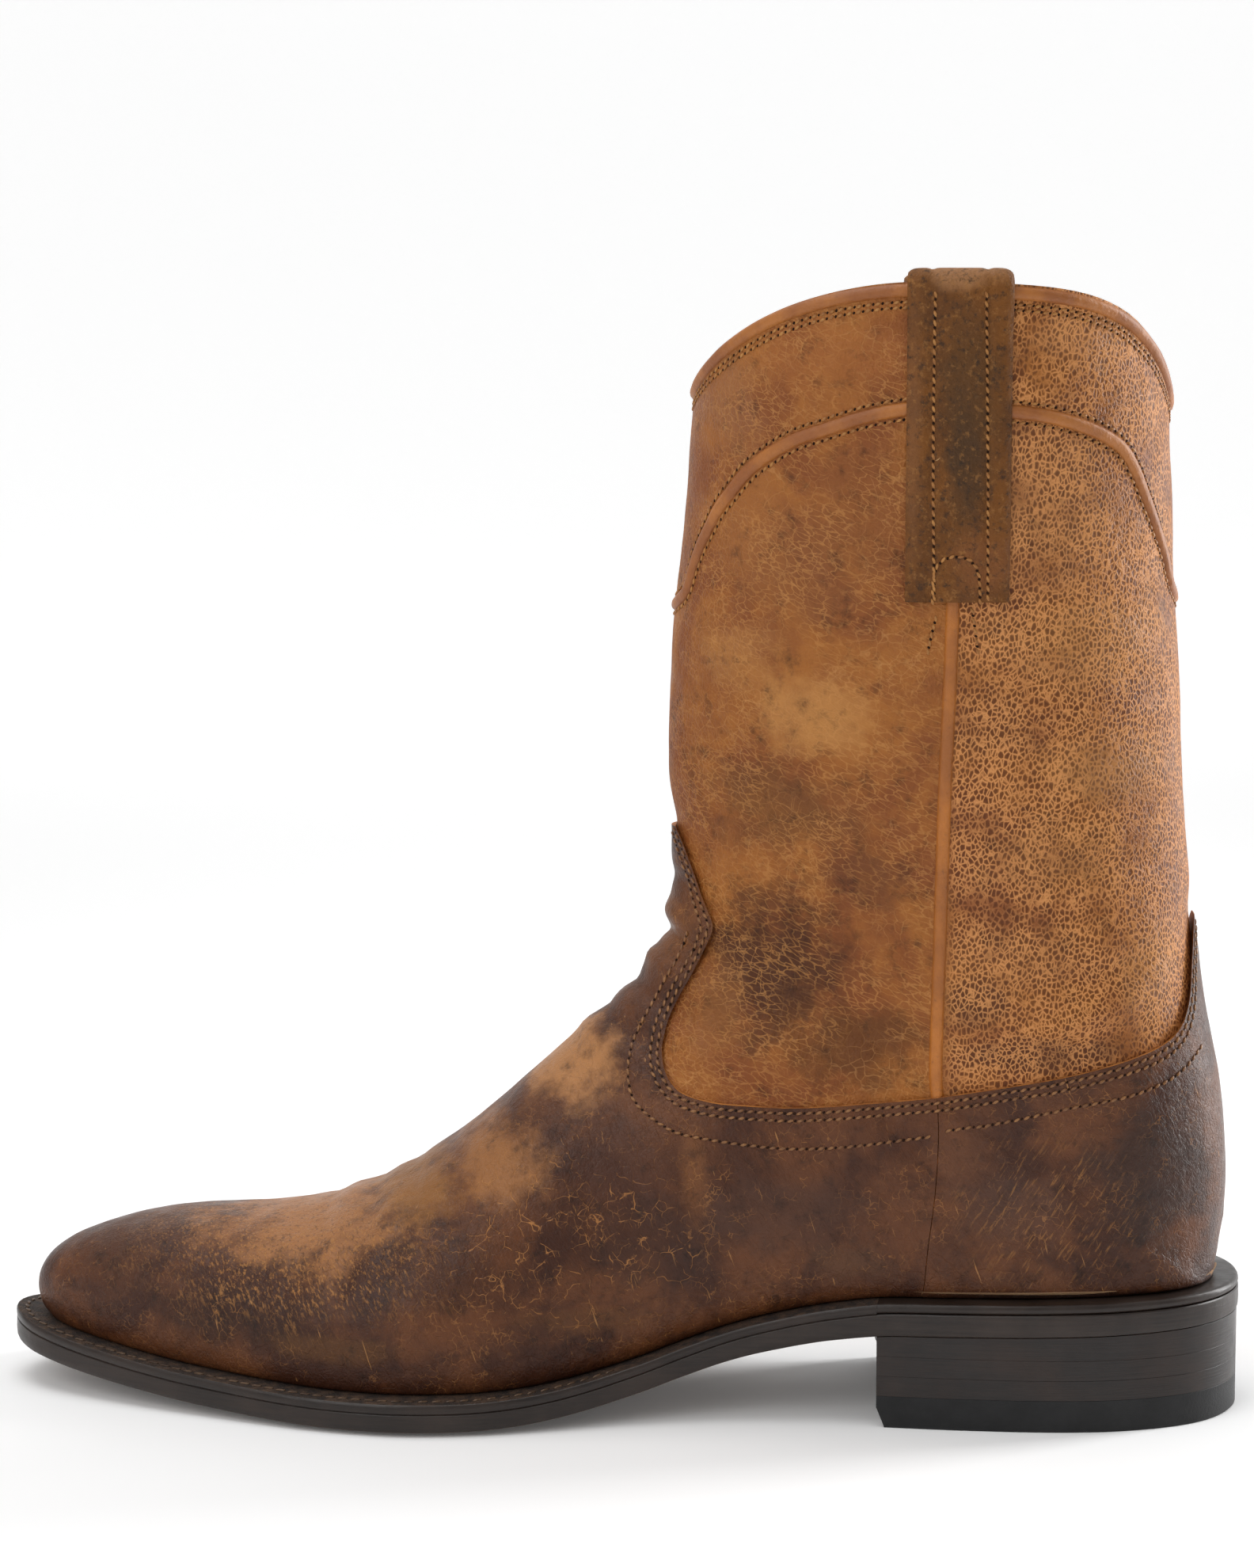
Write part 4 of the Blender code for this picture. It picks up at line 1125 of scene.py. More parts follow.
def rubbed_vamp_leather(name):
    """The same cowhide, waxed darker and lasted tight.

    Over the toe it stretched into fine slanted ridges that are rubbed tan. Behind them it crackled, and the
    cracks show the orange-tan hide.
    """
    finish = Finish(name)
    clouded(finish, "#3d2013", "#633a20", VAMP_PATCHES)
    slanted = finish.turned_space(32, (0.55, 1, 4.5))
    ridges = finish.blotches(1.1, 0.50, 0.64, detail=4, rough=0.65, space=slanted)
    finish.tint("#b27a40", 0.6, ridges, finish.patch(-80, 40, 46, 20, 0.5))
    furrows = finish.blotches(1.3, 0.46, 0.34, detail=4, space=slanted)
    finish.tint("#2c170d", 0.5, furrows, finish.patch(-80, 36, 50, 22, 0.5))
    upward = finish.turned_space(-32, (0.6, 1, 4.5))
    counter_ridges = finish.blotches(1.1, 0.54, 0.66, detail=4, rough=0.65, space=upward)
    finish.tint("#9c6a38", 0.5, counter_ridges, finish.patch(106, 52, 26, 24, 0.6))
    # Cracks of the wax run like twigs, broken where the hide was not bent.
    cracks = finish.net(4.6, 6.5, 0.026)
    broken = finish.blotches(3.4, 0.44, 0.56)
    finish.tint("#bb7f46", 0.7, cracks, broken, finish.patch(-12, 44, 44, 24, 0.8))
    finish.tint("#a8723f", 0.5, finish.net(2.2, 3.0, 0.045), broken, finish.blotches(12, 0.4, 0.65))
    strokes = finish.turned_space(18, (0.5, 1, 9))
    scuffs = finish.blotches(1.6, 0.70, 0.78, detail=2, rough=0.5, space=strokes)
    finish.tint("#c08a52", 0.5, scuffs)
    # A dark line of painted shade along the foot of the counter, just above the rand.
    finish.tint("#1d100a", 0.95, finish.patch(112, 31.2, 48, 2.6, 0.3))
    finish.relief(finish.net(1.1, 0.6, 0.25, 0, 1), 0.04)
    finish.relief(cracks, -0.06)
    finish.relief(ridges, 0.05)
    finish.relief(finish.blotches(3.0, 0.2, 0.8, detail=5), 0.18)
    return finish.done(finish.blotches(6, 0.3, 0.7, 0.34, 0.5, detail=5), coat=0.04, specular=0.25)


def inked_edge_leather(name):
    """Vegetable-tanned sole leather, its edge inked black-brown, waxed and burnished to a low gloss."""
    finish = Finish(name)
    finish.ground(finish.blotches(14, 0.35, 0.7), "#1b1411", "#2b211c")
    fibres = finish.blotches(2.4, 0.2, 0.8, space=finish.turned_space(0, (7, 7, 0.35)))
    finish.tint("#3d3028", 0.35, fibres)
    finish.relief(fibres, 0.05)
    finish.relief(finish.blotches(4, 0.2, 0.8), 0.05)
    return finish.done(finish.blotches(9, 0.3, 0.7, 0.3, 0.45), coat=0.08, coat_roughness=0.2, specular=0.35)


def stacked_heel_leather(name):
    """Layers of the same sole leather, inked and burnished, a little redder in places."""
    finish = Finish(name)
    finish.ground(finish.blotches(20, 0.4, 0.7), "#1c1817", "#2a1f1a")
    fibres = finish.blotches(2.0, 0.2, 0.8, space=finish.turned_space(0, (8, 8, 0.3)))
    finish.tint("#3a2c25", 0.25, fibres)
    finish.relief(fibres, 0.04)
    return finish.done(finish.blotches(7, 0.3, 0.7, 0.32, 0.46), coat=0.06, specular=0.35)


def moulded_heel_rubber(name):
    """Black rubber, moulded and buffed, with a dull satin face."""
    finish = Finish(name)
    finish.ground(finish.blotches(6, 0.3, 0.7), "#151516", "#1d1d1e")
    finish.relief(finish.blotches(0.6, 0.2, 0.8), 0.03)
    return finish.done(0.45, specular=0.3)


def rough_welt_leather(name):
    """The welt's top, left rough beside the stitches, dark brown and dusty."""
    finish = Finish(name)
    finish.ground(finish.blotches(3, 0.35, 0.7, detail=5), "#20150f", "#4b3626")
    finish.tint("#75604c", 0.5, finish.blotches(0.9, 0.62, 0.8))
    finish.relief(finish.blotches(0.8, 0.2, 0.8, detail=5), 0.3)
    return finish.done(0.72)


def sole_leather_face(name):
    """The walking face of the outsole: smooth leather, stained brown, that no floor has touched."""
    finish = Finish(name)
    finish.ground(finish.blotches(30, 0.3, 0.7), "#45321f", "#57402e")
    finish.tint("#33241a", 0.3, finish.blotches(1.2, 0.6, 0.8))
    finish.relief(finish.blotches(0.9, 0.2, 0.8), 0.04)
    return finish.done(0.45, coat=0.1)


def calf_lining(name):
    """Unfinished calf lining, sueded and pale tan, which scatters light softly."""
    finish = Finish(name)
    finish.ground(finish.blotches(26, 0.3, 0.7), "#8f6a46", "#a88259")
    finish.tint("#765334", 0.35, finish.blotches(1.1, 0.55, 0.8))
    finish.relief(finish.blotches(0.7, 0.2, 0.8), 0.08)
    return finish.done(0.85, specular=0.25, sheen=0.2)


def pressed_strap_leather(name):
    """The shaft's leather again, folded, pressed hard and worn to a dark olive brown in the middle."""
    finish = Finish(name)
    finish.ground(finish.blotches(11, 0.35, 0.65, detail=5, twist=0.4), "#5c3716", "#744619")
    finish.tint("#50351a", 0.7, finish.patch(84, 246, 8, 24, 0.6))
    finish.tint("#3f2c1a", 0.6, finish.patch(84, 232, 6, 16, 0.7))
    finish.tint("#7a4f2e", 0.5, finish.patch(70.5, 240, 3, 34, 0.4))
    finish.tint("#7a4a25", 0.8, finish.patch(88, 209, 9, 9, 0.6))
    finish.tint("#a0724b", 0.8, finish.patch(82, 277, 14, 5, 0.6))
    finish.tint("#2b2018", 0.8, finish.blotches(1.8, 0.5, 0.7, detail=6, rough=0.7))
    finish.tint("#9a6a38", 0.5, finish.blotches(1.6, 0.48, 0.32, detail=6, rough=0.7))
    broad = finish.turned_space(0, (2.2, 1, 0.9))
    scuffs = finish.blotches(2.2, 0.66, 0.74, detail=3, twist=0.6, space=broad)
    finish.tint("#c9a06e", 1, scuffs, finish.patch(80, 232, 9, 20, 0.3))
    finish.relief(finish.net(1.0, 0.6, 0.3, 0, 1), 0.08)
    finish.relief(finish.blotches(1.4, 0.2, 0.8, detail=5), 0.16)
    return finish.done(finish.blotches(4, 0.3, 0.7, 0.48, 0.66), coat=0.02, specular=0.2)


def piping_leather(name):
    """A strip of tan leather let into the seam, with small dark specks."""
    finish = Finish(name)
    finish.ground(finish.blotches(18, 0.35, 0.7), "#955518", "#b86e22")
    finish.tint("#4a2c18", 0.5, finish.blotches(1.6, 0.55, 0.8))
    finish.relief(finish.blotches(0.8, 0.2, 0.8), 0.12)
    return finish.done(0.5, coat=0.05)


def band_leather(name):
    """The yoke's raised bands and the collar's binding: tan leather with small dark specks."""
    finish = Finish(name)
    finish.ground(finish.blotches(14, 0.35, 0.7), "#8c4f1c", "#aa6828")
    finish.tint("#5e3719", 0.45, finish.blotches(1.8, 0.55, 0.8))
    finish.relief(finish.blotches(1.6, 0.2, 0.8), 0.16)
    return finish.done(0.52, coat=0.05)


def raw_edge_leather(name):
    """Cut edges of vamp and counter, where the orange-tan core of the hide shows."""
    finish = Finish(name)
    finish.ground(finish.blotches(5, 0.35, 0.65), "#8f5420", "#c07b34")
    finish.relief(finish.blotches(0.5, 0.2, 0.8), 0.12)
    return finish.done(0.6)


def waxed_thread(name, first, second):
    """Polyester thread, waxed to a slight lustre."""
    finish = Finish(name)
    finish.ground(finish.blotches(2.5, 0.3, 0.7), first, second)
    return finish.done(0.45, specular=0.4)


def painted_hole_shade(name):
    """Dark marks of painted shade in the needle holes between stitches."""
    finish = Finish(name)
    finish.ground(finish.blotches(4, 0.35, 0.65), "#1c1009", "#2e1b10")
    return finish.done(0.8, specular=0.1)


def studio_white(name, hex_colour):
    """Matt white paper that glows more and more towards the back, as a lit backdrop does."""
    material = bpy.data.materials.new(name)
    material.use_nodes = True
    tree = material.node_tree
    shader = tree.nodes["Principled BSDF"]
    shader.inputs["Base Color"].default_value = linear(hex_colour)
    shader.inputs["Roughness"].default_value = 0.9
    shader.inputs["Specular IOR Level"].default_value = 0.1
    shader.inputs["Emission Color"].default_value = linear(hex_colour)
    place = add(tree, "ShaderNodeTexCoord").outputs["Object"]
    depth = add(tree, "ShaderNodeSeparateXYZ", {0: place}).outputs[1]
    inputs = {0: depth, 1: PAPER_GLOW_FROM, 2: PAPER_GLOW_TO, 3: PAPER_GLOW_NEAR, 4: PAPER_GLOW_FAR}
    glow = add(tree, "ShaderNodeMapRange", inputs, interpolation_type="SMOOTHSTEP").outputs[0]
    tree.links.new(glow, shader.inputs["Emission Strength"])
    return material


# Shapes on the upper
def relieved(points):
    """The upper's surface with its folds and waves, which calm down towards the welt."""
    stations = np.linspace(-LENGTH / 2, LENGTH / 2, FEATHER_STATIONS)
    feather = np.interp(points[..., 0], stations, [feather_height(x) for x in stations])
    calm = np.clip((points[..., 2] - feather) / FEATHER_CALM, 0, 1)
    calm = calm * calm * (3 - 2 * calm)
    height = (fold_relief(points, VAMP_FOLDS) + wave_relief(points)) * calm
    return points + grid_normals(points) * height[..., None]


def distance_to_line(x, z, line):
    """Distance in the side view from each point to a line of points."""
    least = np.full(x.shape, np.inf)
    for (x1, z1), (x2, z2) in zip(line, line[1:]):
        run = max((x2 - x1) ** 2 + (z2 - z1) ** 2, 1e-12)
        share = np.clip(((x - x1) * (x2 - x1) + (z - z1) * (z2 - z1)) / run, 0, 1)
        least = np.minimum(least, np.hypot(x - x1 - share * (x2 - x1), z - z1 - share * (z2 - z1)))
    return least


def inside_outline(x, z, outline):
    """Whether each point of the side view lies within a closed outline."""
    inside = np.zeros(x.shape, bool)
    for (x1, z1), (x2, z2) in zip(outline, outline[1:] + outline[:1]):
        crosses = (z1 > z) != (z2 > z)
        at = x1 + (z - z1) * (x2 - x1) / (z2 - z1 if z2 != z1 else 1)
        inside ^= crosses & (x < at)
    return inside


def side_view(skin, pixels):
    """A smooth line through pixels of the photograph, as x and z where it lies on the boot."""
    return [(point[0], point[2]) for point in (skin.point(place) for place in skin.run(pixels))]


def upper_sheet(points, last_row=None):
    """The upper's surface as a mesh. The lasting margin ends where the shaft begins."""
    last_row = last_row or len(points) - 1
    points = points[: last_row + 1]
    columns = points.shape[1]
    builder = sheet_builder(points)
    builder.verts.index_update()
    stray = []
    for face in builder.faces:
        rows, across = zip(*[divmod(vert.index, columns) for vert in face.verts])
        at_edge = min(across) == 0 or max(across) == columns - 1
        if at_edge and min(rows) >= FOOT_ROWS:
            stray.append(face)
    bmesh.ops.delete(builder, geom=stray, context="FACES")
    merged(builder)
    # The first row runs round the tip of the toe, which is closed by a low dome.
    front = points[0, 1:-1, 0].max() + TOE_SLACK
    rim = [edge for edge in open_edges(builder) if max(vert.co.x for vert in edge.verts) < front]
    tip = bmesh.ops.holes_fill(builder, edges=rim, sides=0)["faces"]
    turned_outward(builder)
    middle = sum((face.calc_center_median() for face in builder.faces), Vector()) / len(builder.faces)
    outward = sum((face.calc_center_median() - middle).dot(face.normal) for face in builder.faces)
    if outward < 0:
        bmesh.ops.reverse_faces(builder, faces=builder.faces[:])
    bmesh.ops.poke(builder, faces=tip, offset=TOE_BULGE)
    return builder


def walled(obj, thickness, inner_slot=0, rim_slot=0):
    solid = obj.modifiers.new("wall", "SOLIDIFY")
    solid.thickness = thickness
    solid.offset = -1
    solid.use_even_offset = False
    solid.material_offset = inner_slot
    solid.material_offset_rim = rim_slot


def applied(obj, sharp):
    """Puts the result of the modifiers into the mesh."""
    graph = bpy.context.evaluated_depsgraph_get()
    mesh = bpy.data.meshes.new_from_object(obj.evaluated_get(graph))
    mesh.name = obj.name
    obj.modifiers.clear()
    obj.data = mesh
    mesh.shade_smooth()
    mesh.set_sharp_from_angle(angle=math.radians(sharp))
    return obj


def outline_cutter(outline, material):
    """A block with the side view's outline, right through the boot."""
    builder = bmesh.new()
    corners = [builder.verts.new((x, -CUTTER_REACH, z)) for x, z in outline]
    face = builder.faces.new(corners)
    extruded = bmesh.ops.extrude_face_region(builder, geom=[face])["geom"]
    moved = [item for item in extruded if isinstance(item, bmesh.types.BMVert)]
    bmesh.ops.translate(builder, verts=moved, vec=(0, 2 * CUTTER_REACH, 0))
    return shown("cutter", turned_outward(builder), material)


def overlay(name, top, outline, leather, edge):
    """Leather laid over the base, cut to an outline of the side view, with its raw edge showing."""
    piece = shown(name, upper_sheet(top, OVERLAY_LAST_ROW), leather)
    walled(piece, OVERLAY_THICK)
    cutter = outline_cutter(outline, edge)
    cut = piece.modifiers.new("outline", "BOOLEAN")
    cut.operation = "INTERSECT"
    cut.solver = "MANIFOLD"
    cut.object = cutter
    cut.material_mode = "TRANSFER"
    applied(piece, CUT_EDGE)
    bpy.data.objects.remove(cutter)
    return piece


def swept(points, across, up, profile, closed=False):
    """A closed section carried along a line, as rows of points."""
    rows = []
    for point, aside, above in zip(points, across, up):
        rows.append([point + aside * a + above * b for a, b in profile])
    if closed:
        rows.append(rows[0])
    builder = merged(sheet_builder(rows, closed_across=True))
    return turned_outward(builder) if closed else with_closed_ends(builder)


def band_profile(wide, high, sunk, steps=7):
    """Section of a band: a low dome over a flat foot that is sunk into the leather."""
    profile = [(-wide / 2, -sunk), (wide / 2, -sunk)]
    for step in range(steps + 1):
        share = 1 - 2 * step / steps
        profile.append((share * wide / 2, high * (1 - abs(share) ** 3)))
    return profile


def band(skin, places, wide, high):
    points, normals, along = skin.spaced(places, BAND_STEP)
    return swept(points, np.cross(along, normals), normals, band_profile(wide, high, BAND_SUNK))


def stitch_row(points, normals, along, length, wide, proud):
    """One row of thread, each stitch a small spindle pressed into the leather."""
    builder = bmesh.new()
    for point, normal, ahead in zip(points, normals, along):
        ahead = Vector(ahead)
        normal = Vector(normal)
        aside = normal.cross(ahead).normalized()
        ahead = (ahead + aside * STITCH_SLANT).normalized()
        place = Matrix.Identity(4)
        place.col[0][:3] = aside * wide / 2
        place.col[1][:3] = normal * wide * STITCH_FLATNESS
        place.col[2][:3] = ahead * length / 2
        place.col[3][:3] = Vector(point) + normal * proud
        sides = {"u_segments": STITCH_SIDES, "v_segments": STITCH_RINGS}
        bmesh.ops.create_uvsphere(builder, radius=1, matrix=place, **sides)
    return builder


def sewn(points, normals, along, pitch, holes):
    """A row of stitches, with dark marks of painted shade for the needle holes between them added to holes.
    """
    between = [(a + b) / 2 for a, b in zip(points, points[1:])]
    # Painted shade: a dark mark in each needle hole between two stitches.
    holes.append(stitch_row(between, normals, along, HOLE_SIZE, HOLE_SIZE, HOLE_PROUD))
    return stitch_row(points, normals, along, pitch * STITCH_SHARE, THREAD, STITCH_PROUD)


def stitched(skin, places, pitch, holes):
    """Stitches on the outer side and, mirrored, on the inner one, up to the middle lines of the boot."""
    before_front = skin.columns // 2 - STITCH_FROM_FRONT
    places = [place for place in places if STITCH_FROM_BACK < place[1] < before_front]
    return [sewn(*skin.spaced(line, pitch), pitch, holes) for line in (places, skin.other_side(places))]


def main_shapes(shape):
    """Surfaces of the overlaid leather and of the base under it, and the two outlines they are cut to."""
    skin = Skin(shape, camera)
    vamp_line = side_view(skin, VAMP_EDGE_SEEN)
    counter_line = side_view(skin, COUNTER_EDGE_SEEN)
    seam = [point for point in side_view(skin, SIDE_SEAM_SEEN) if point[1] < vamp_line[-1][1]]
    foot = seam[-1]
    tip = vamp_line[0]
    tail = counter_line[-1]
    below = -CUTTER_REACH
    vamp_outline = [(-FAR_OUT, tip[1]), *vamp_line, *seam, (foot[0], below), (-FAR_OUT, below)]
    seam = [(x + SEAM_OPEN, z) for x, z in seam]
    corners = [(FAR_OUT, tail[1]), (FAR_OUT, below), (foot[0] + SEAM_OPEN, below)]
    counter_outline = [*seam[::-1], *counter_line, *corners]
    top = relieved(shape)
    x = shape[..., 0]
    z = shape[..., 2]
    covered = inside_outline(x, z, vamp_outline) | inside_outline(x, z, counter_outline)
    away = distance_to_line(x, z, vamp_line + counter_line)
    sink = np.where(covered, 1.0, np.exp(-((away / UNDERLAY_RECOVER) ** 2))) * OVERLAY_THICK
    uncovered = np.where(covered, 0.0, 1 - np.exp(-((away / SAG_START) ** 2)))
    sag = fold_relief(shape, SHAFT_FOLDS) * uncovered
    base = top + grid_normals(top) * (sag - sink)[..., None]
    cover = top + grid_normals(top) * OVERLAY_LIFT
    return base, cover, vamp_outline, counter_outline


# Parts of the upper
def upper_and_overlays(base, cover, vamp_outline, counter_outline):
    shaft = rubbed_shaft_leather("waxed_cowhide_rubbed_tan")
    dark = rubbed_vamp_leather("waxed_cowhide_rubbed_dark")
    lining = calf_lining("sueded_calf_lining")
    edge = raw_edge_leather("raw_cut_leather_edge")
    body = shown("boot_shaft", upper_sheet(base), [shaft, lining])
    walled(body, BASE_WALL, 1, 1)
    vamp = overlay("vamp_overlay", cover, vamp_outline, dark, edge)
    counter = overlay("counter_overlay", cover, counter_outline, dark, edge)
    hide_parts("upper")
    return [body, vamp, counter]


def collar_binding(skin, leather):
    """The rolled rim of the collar, and the line it follows with its upward directions."""
    last = skin.rows - 1 - RIM_BACK
    places = [np.array([last, column]) for column in np.linspace(1, skin.columns - 2, RIM_STEPS)]
    points, normals, along = skin.spaced(places, BAND_STEP)
    up = np.cross(along, normals)
    turns = np.linspace(0, 2 * math.pi, RIM_SIDES + 1)[:-1]
    profile = [(RIM_RADIUS * math.cos(turn), RIM_RADIUS * math.sin(turn)) for turn in turns]
    centres = points - normals * BASE_WALL / 2
    builder = swept(centres[:-1], normals[:-1], up[:-1], profile, closed=True)
    return shown("collar_binding", builder, leather), points, up


def yoke(skin, leather, holes):
    """Raised bands round the yoke, and the stitches above and below them."""
    bands = []
    rows = []
    to_centre = YOKE_BAND_WIDE / 2 + ROW_BESIDE
    middle = skin.columns // 2
    runs = (
        (skin.carried_on(skin.run(YOKE_FRONT_SEEN), middle, YOKE_DROP), -1),
        (skin.carried_on(skin.run(YOKE_BACK_SEEN), 1, YOKE_DROP), 1),
    )
    for upper_row, down in runs:
        centre = skin.beside(upper_row, down * to_centre)
        lower_row = skin.beside(upper_row, down * 2 * to_centre)
        for line in (centre, skin.other_side(centre)):
            bands.append(band(skin, line, YOKE_BAND_WIDE, YOKE_BAND_HIGH))
        rows += stitched(skin, upper_row, FINE_PITCH, holes) + stitched(skin, lower_row, FINE_PITCH, holes)
    return shown("yoke_bands", joined(bands), leather), rows


def collar_rows(skin, points, up, holes):
    rows = []
    for below in COLLAR_ROWS:
        line = [skin.nearest(point - upward * below) for point, upward in zip(points[:-1], up[:-1])]
        rows.append(sewn(*skin.spaced(line, FINE_PITCH), FINE_PITCH, holes))
    return rows


def overlay_rows(skin, holes):
    """Two rows close to the edges of vamp and counter, and a single row further off."""
    rows = []
    for edge in (skin.run(VAMP_EDGE_SEEN), skin.run(COUNTER_EDGE_SEEN)):
        for away in EDGE_ROWS:
            rows += stitched(skin, skin.beside(edge, away), ROW_PITCH, holes)
    for single in (VAMP_ROW_SEEN, COUNTER_ROW_SEEN):
        rows += stitched(skin, skin.run(single), ROW_PITCH, holes)
    return rows


def leg_hit(skin, turn, x, z):
    """Where a level line from the side meets the leg, and the level outward direction there."""
    hit, normal, _, _ = skin.tree.ray_cast(Vector((x, turn * FAR_OUT, z)), Vector((0, -turn, 0)))
    normal = Vector((normal.x, normal.y, 0)).normalized()
    return hit, normal if normal.y * turn > 0 else -normal


def strap_lift(drop):
    """How far the strap stands off the leg at a depth below the rim. It flares over the rolled rim."""
    return STRAP_LIFT + STRAP_FLARE * math.exp(-((drop / STRAP_FLARE_REACH) ** 2))


def strap_thickness(offset):
    """Thickness across the strap, thin at its edges and pressed in along its two rows of stitches."""
    edge = abs(offset) / (STRAP_WIDTH / 2)
    groove = STRAP_GROOVE * math.exp(-(((abs(offset) - STRAP_ROW_AT) / STRAP_GROOVE_WIDE) ** 2))
    return STRAP_THICK * (1 - STRAP_EDGE_THIN * edge**STRAP_EDGE_POWER) - groove


def strap_strip(skin, turn, x, heights, crown, thick):
    """Points of the outer and inner face along the strap: up the leg, over the rim and down inside."""
    far = []
    near = []
    for z in heights:
        hit, normal = leg_hit(skin, turn, x, z)
        lift = strap_lift(heights[-1] - z)
        near.append(hit + normal * lift)
        far.append(hit + normal * (lift + thick))
    hit, normal = leg_hit(skin, turn, x, heights[-1])
    outside = near[-1]
    inside = hit - normal * (BASE_WALL + STRAP_LIFT + STRAP_FLARE)
    middle = (outside + inside) / 2
    middle.z = crown
    across = (outside - inside).normalized()
    small = (outside - inside).length / 2
    for angle in np.linspace(0, math.pi, STRAP_ARC_STEPS + 1):
        reach = across * math.cos(angle) + Vector((0, 0, math.sin(angle)))
        near.append(middle + reach * small)
        far.append(middle + reach * (small + thick))
    for z in heights[::-1]:
        hit, normal = leg_hit(skin, turn, x, z)
        lift = strap_lift(heights[-1] - z)
        near.append(hit - normal * (BASE_WALL + lift))
        far.append(hit - normal * (BASE_WALL + lift + thick))
    return far, near


def strap_faces(skin, turn):
    """Outer and inner face of a pull strap, as rows along it."""
    last = skin.points[-1]
    side = last[: skin.columns // 2] if turn < 0 else last[skin.columns // 2 :]
    side = side[np.argsort(side[:, 0])]
    offsets = np.linspace(-0.5, 0.5, STRAP_COLUMNS + 1) * STRAP_WIDTH
    xs = LENGTH / 2 - STRAP_AT + turn * offsets
    rims = np.interp(xs, side[:, 0], side[:, 2])
    highest = max(rims)
    crown = highest - STRAP_CROWN_DROP
    outer = []
    inner = []
    for x, rim, offset in zip(xs, rims, offsets):
        heights = np.linspace(highest - STRAP_DROP, rim - STRAP_TOP_DROP, STRAP_LEG_STEPS + 1)
        far, near = strap_strip(skin, turn, x, heights, crown, strap_thickness(offset))
        outer.append(far)
        inner.append(near)
    return np.array(outer).transpose(1, 0, 2), np.array(inner).transpose(1, 0, 2)


def pull_straps(skin, leather, thread, holes):
    pieces = []
    rows = []
    seen_places = []
    for name, node, turn in (("strap_outer", "pull_strap_outer", -1), ("strap_inner", "pull_strap_inner", 1)):
        outer, inner = strap_faces(skin, turn)
        around = np.concatenate([outer, inner[:, ::-1]], axis=1)
        builder = merged(sheet_builder(around, closed_across=True))
        strap = shown(name, with_closed_ends(builder), leather)
        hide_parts(node)
        pieces.append(strap)
        strap_skin = Skin(outer, camera)
        if turn < 0:
            seen_places = [strap_skin.run(line) for line in STRAP_ROWS_SEEN]
        for places in seen_places:
            line = places if turn < 0 else strap_skin.other_side(places)
            rows.append(sewn(*strap_skin.spaced(line, FINE_PITCH), FINE_PITCH, holes))
    pieces.append(shown("strap_stitching", joined(rows), thread, STITCH_EDGE))
    return pieces


# Parts of the bottom
def above_bottom(lift):
    return lambda x: sole_bottom(x) + lift


def level(height):
    return lambda x: height


def raised(loop, height):
    """The loop's points at the height that is given for their place along the boot."""
    return np.array([(x, y, height(x)) for x, y in np.asarray(loop)[:, :2]])


def round_cap(ring):
    """A sheet across a loop that runs right round the sole, from its outer run to its inner one."""
    rows = []
    for i in range(len(ring) // 2 + 1):
        start = ring[i]
        stop = ring[-i % len(ring)]
        rows.append([start + (stop - start) * t for t in np.linspace(0, 1, CAP_STEPS + 1)])
    return sheet_builder(rows)


def heel_cap(ring):
    """A sheet across the outline of the heel, from its breast to its back."""
    around = 2 * HEEL_STEPS
    rows = [[ring[0], *ring[: around - 1 : -1]]]
    for i in range(1, HEEL_STEPS + 1):
        start = ring[i]
        stop = ring[around - i]
        rows.append([start + (stop - start) * t for t in np.linspace(0, 1, BREAST_STEPS + 1)])
    return sheet_builder(rows)


def layer(name, loops, cap, materials):
    """A layer of the bottom from its loops, lowest first."""
    sides = sheet_builder(loops, closed_across=True)
    builder = merged(joined([sides, cap(loops[0]), cap(loops[-1])]))
    return shown(name, turned_outward(builder), materials, LAYER_EDGE)


def faced(obj, wanted):
    """Gives the second material to the faces that look the way wanted says."""
    for face in obj.data.polygons:
        if wanted(face.normal):
            face.material_index = 1
    return obj


def outsole(plan, edge_finish, face_finish):
    """The sole, crowned a little underneath between its rounded edges."""

    def crowned(lift, part=1):
        return lambda x: sole_bottom(x) + CROWN_RISE * bottom_at(x, "crown") / part + lift

    loops = [
        raised(plan.sole_edge(CROWN_INSET), above_bottom(0)),
        raised(plan.sole_edge(CROWN_INSET / 2), crowned(0, 3)),
        raised(plan.sole_edge(EDGE_ROUND), crowned(0)),
        raised(plan.sole_edge(EDGE_ROUND * 0.3), crowned(EDGE_ROUND * 0.3)),
        raised(plan.sole_edge(0), crowned(EDGE_ROUND)),
        raised(plan.sole_edge(-SOLE_BULGE), above_bottom(OUTSOLE_THICK / 2)),
        raised(plan.sole_edge(0), above_bottom(SOLE_TOP - SOLE_TOP_EASE)),
        raised(plan.sole_edge(SOLE_TOP_EASE), above_bottom(SOLE_TOP)),
    ]
    sole = layer("leather_outsole", loops, round_cap, [edge_finish, face_finish])
    return faced(sole, lambda normal: normal.z < WALKING_FACE)


def rim_band(name, indices, edges, materials):
    """A band under the edge of the upper. Each of its edges is a run of points and a height over the sole."""
    under = plan.inside(FEATHER_TUCK + WELT_UNDER)
    edges = [*edges, (under, WELT_TOP), (under, SOLE_TOP)]
    sections = []
    for i in indices:
        sections.append([(run[i][0], run[i][1], sole_bottom(run[i][0]) + lift) for run, lift in edges])
    builder = merged(sheet_builder(sections, closed_across=True))
    return shown(name, with_closed_ends(builder), materials, RIM_BAND_EDGE)


def welt(plan, edge_finish, top_finish):
    """The welt, its outer edge softly rounded and its top open to the stitches."""
    count = len(plan.places)
    indices = [i % count for i in range(count - TOE_STEPS, count + TOE_STEPS + 1)]
    edges = [(plan.sole_edge(inset), lift) for inset, lift in WELT_PROFILE]
    strip = rim_band("stitched_welt", indices, edges, [edge_finish, top_finish])
    return faced(strip, lambda normal: normal.z > WELT_FACE)


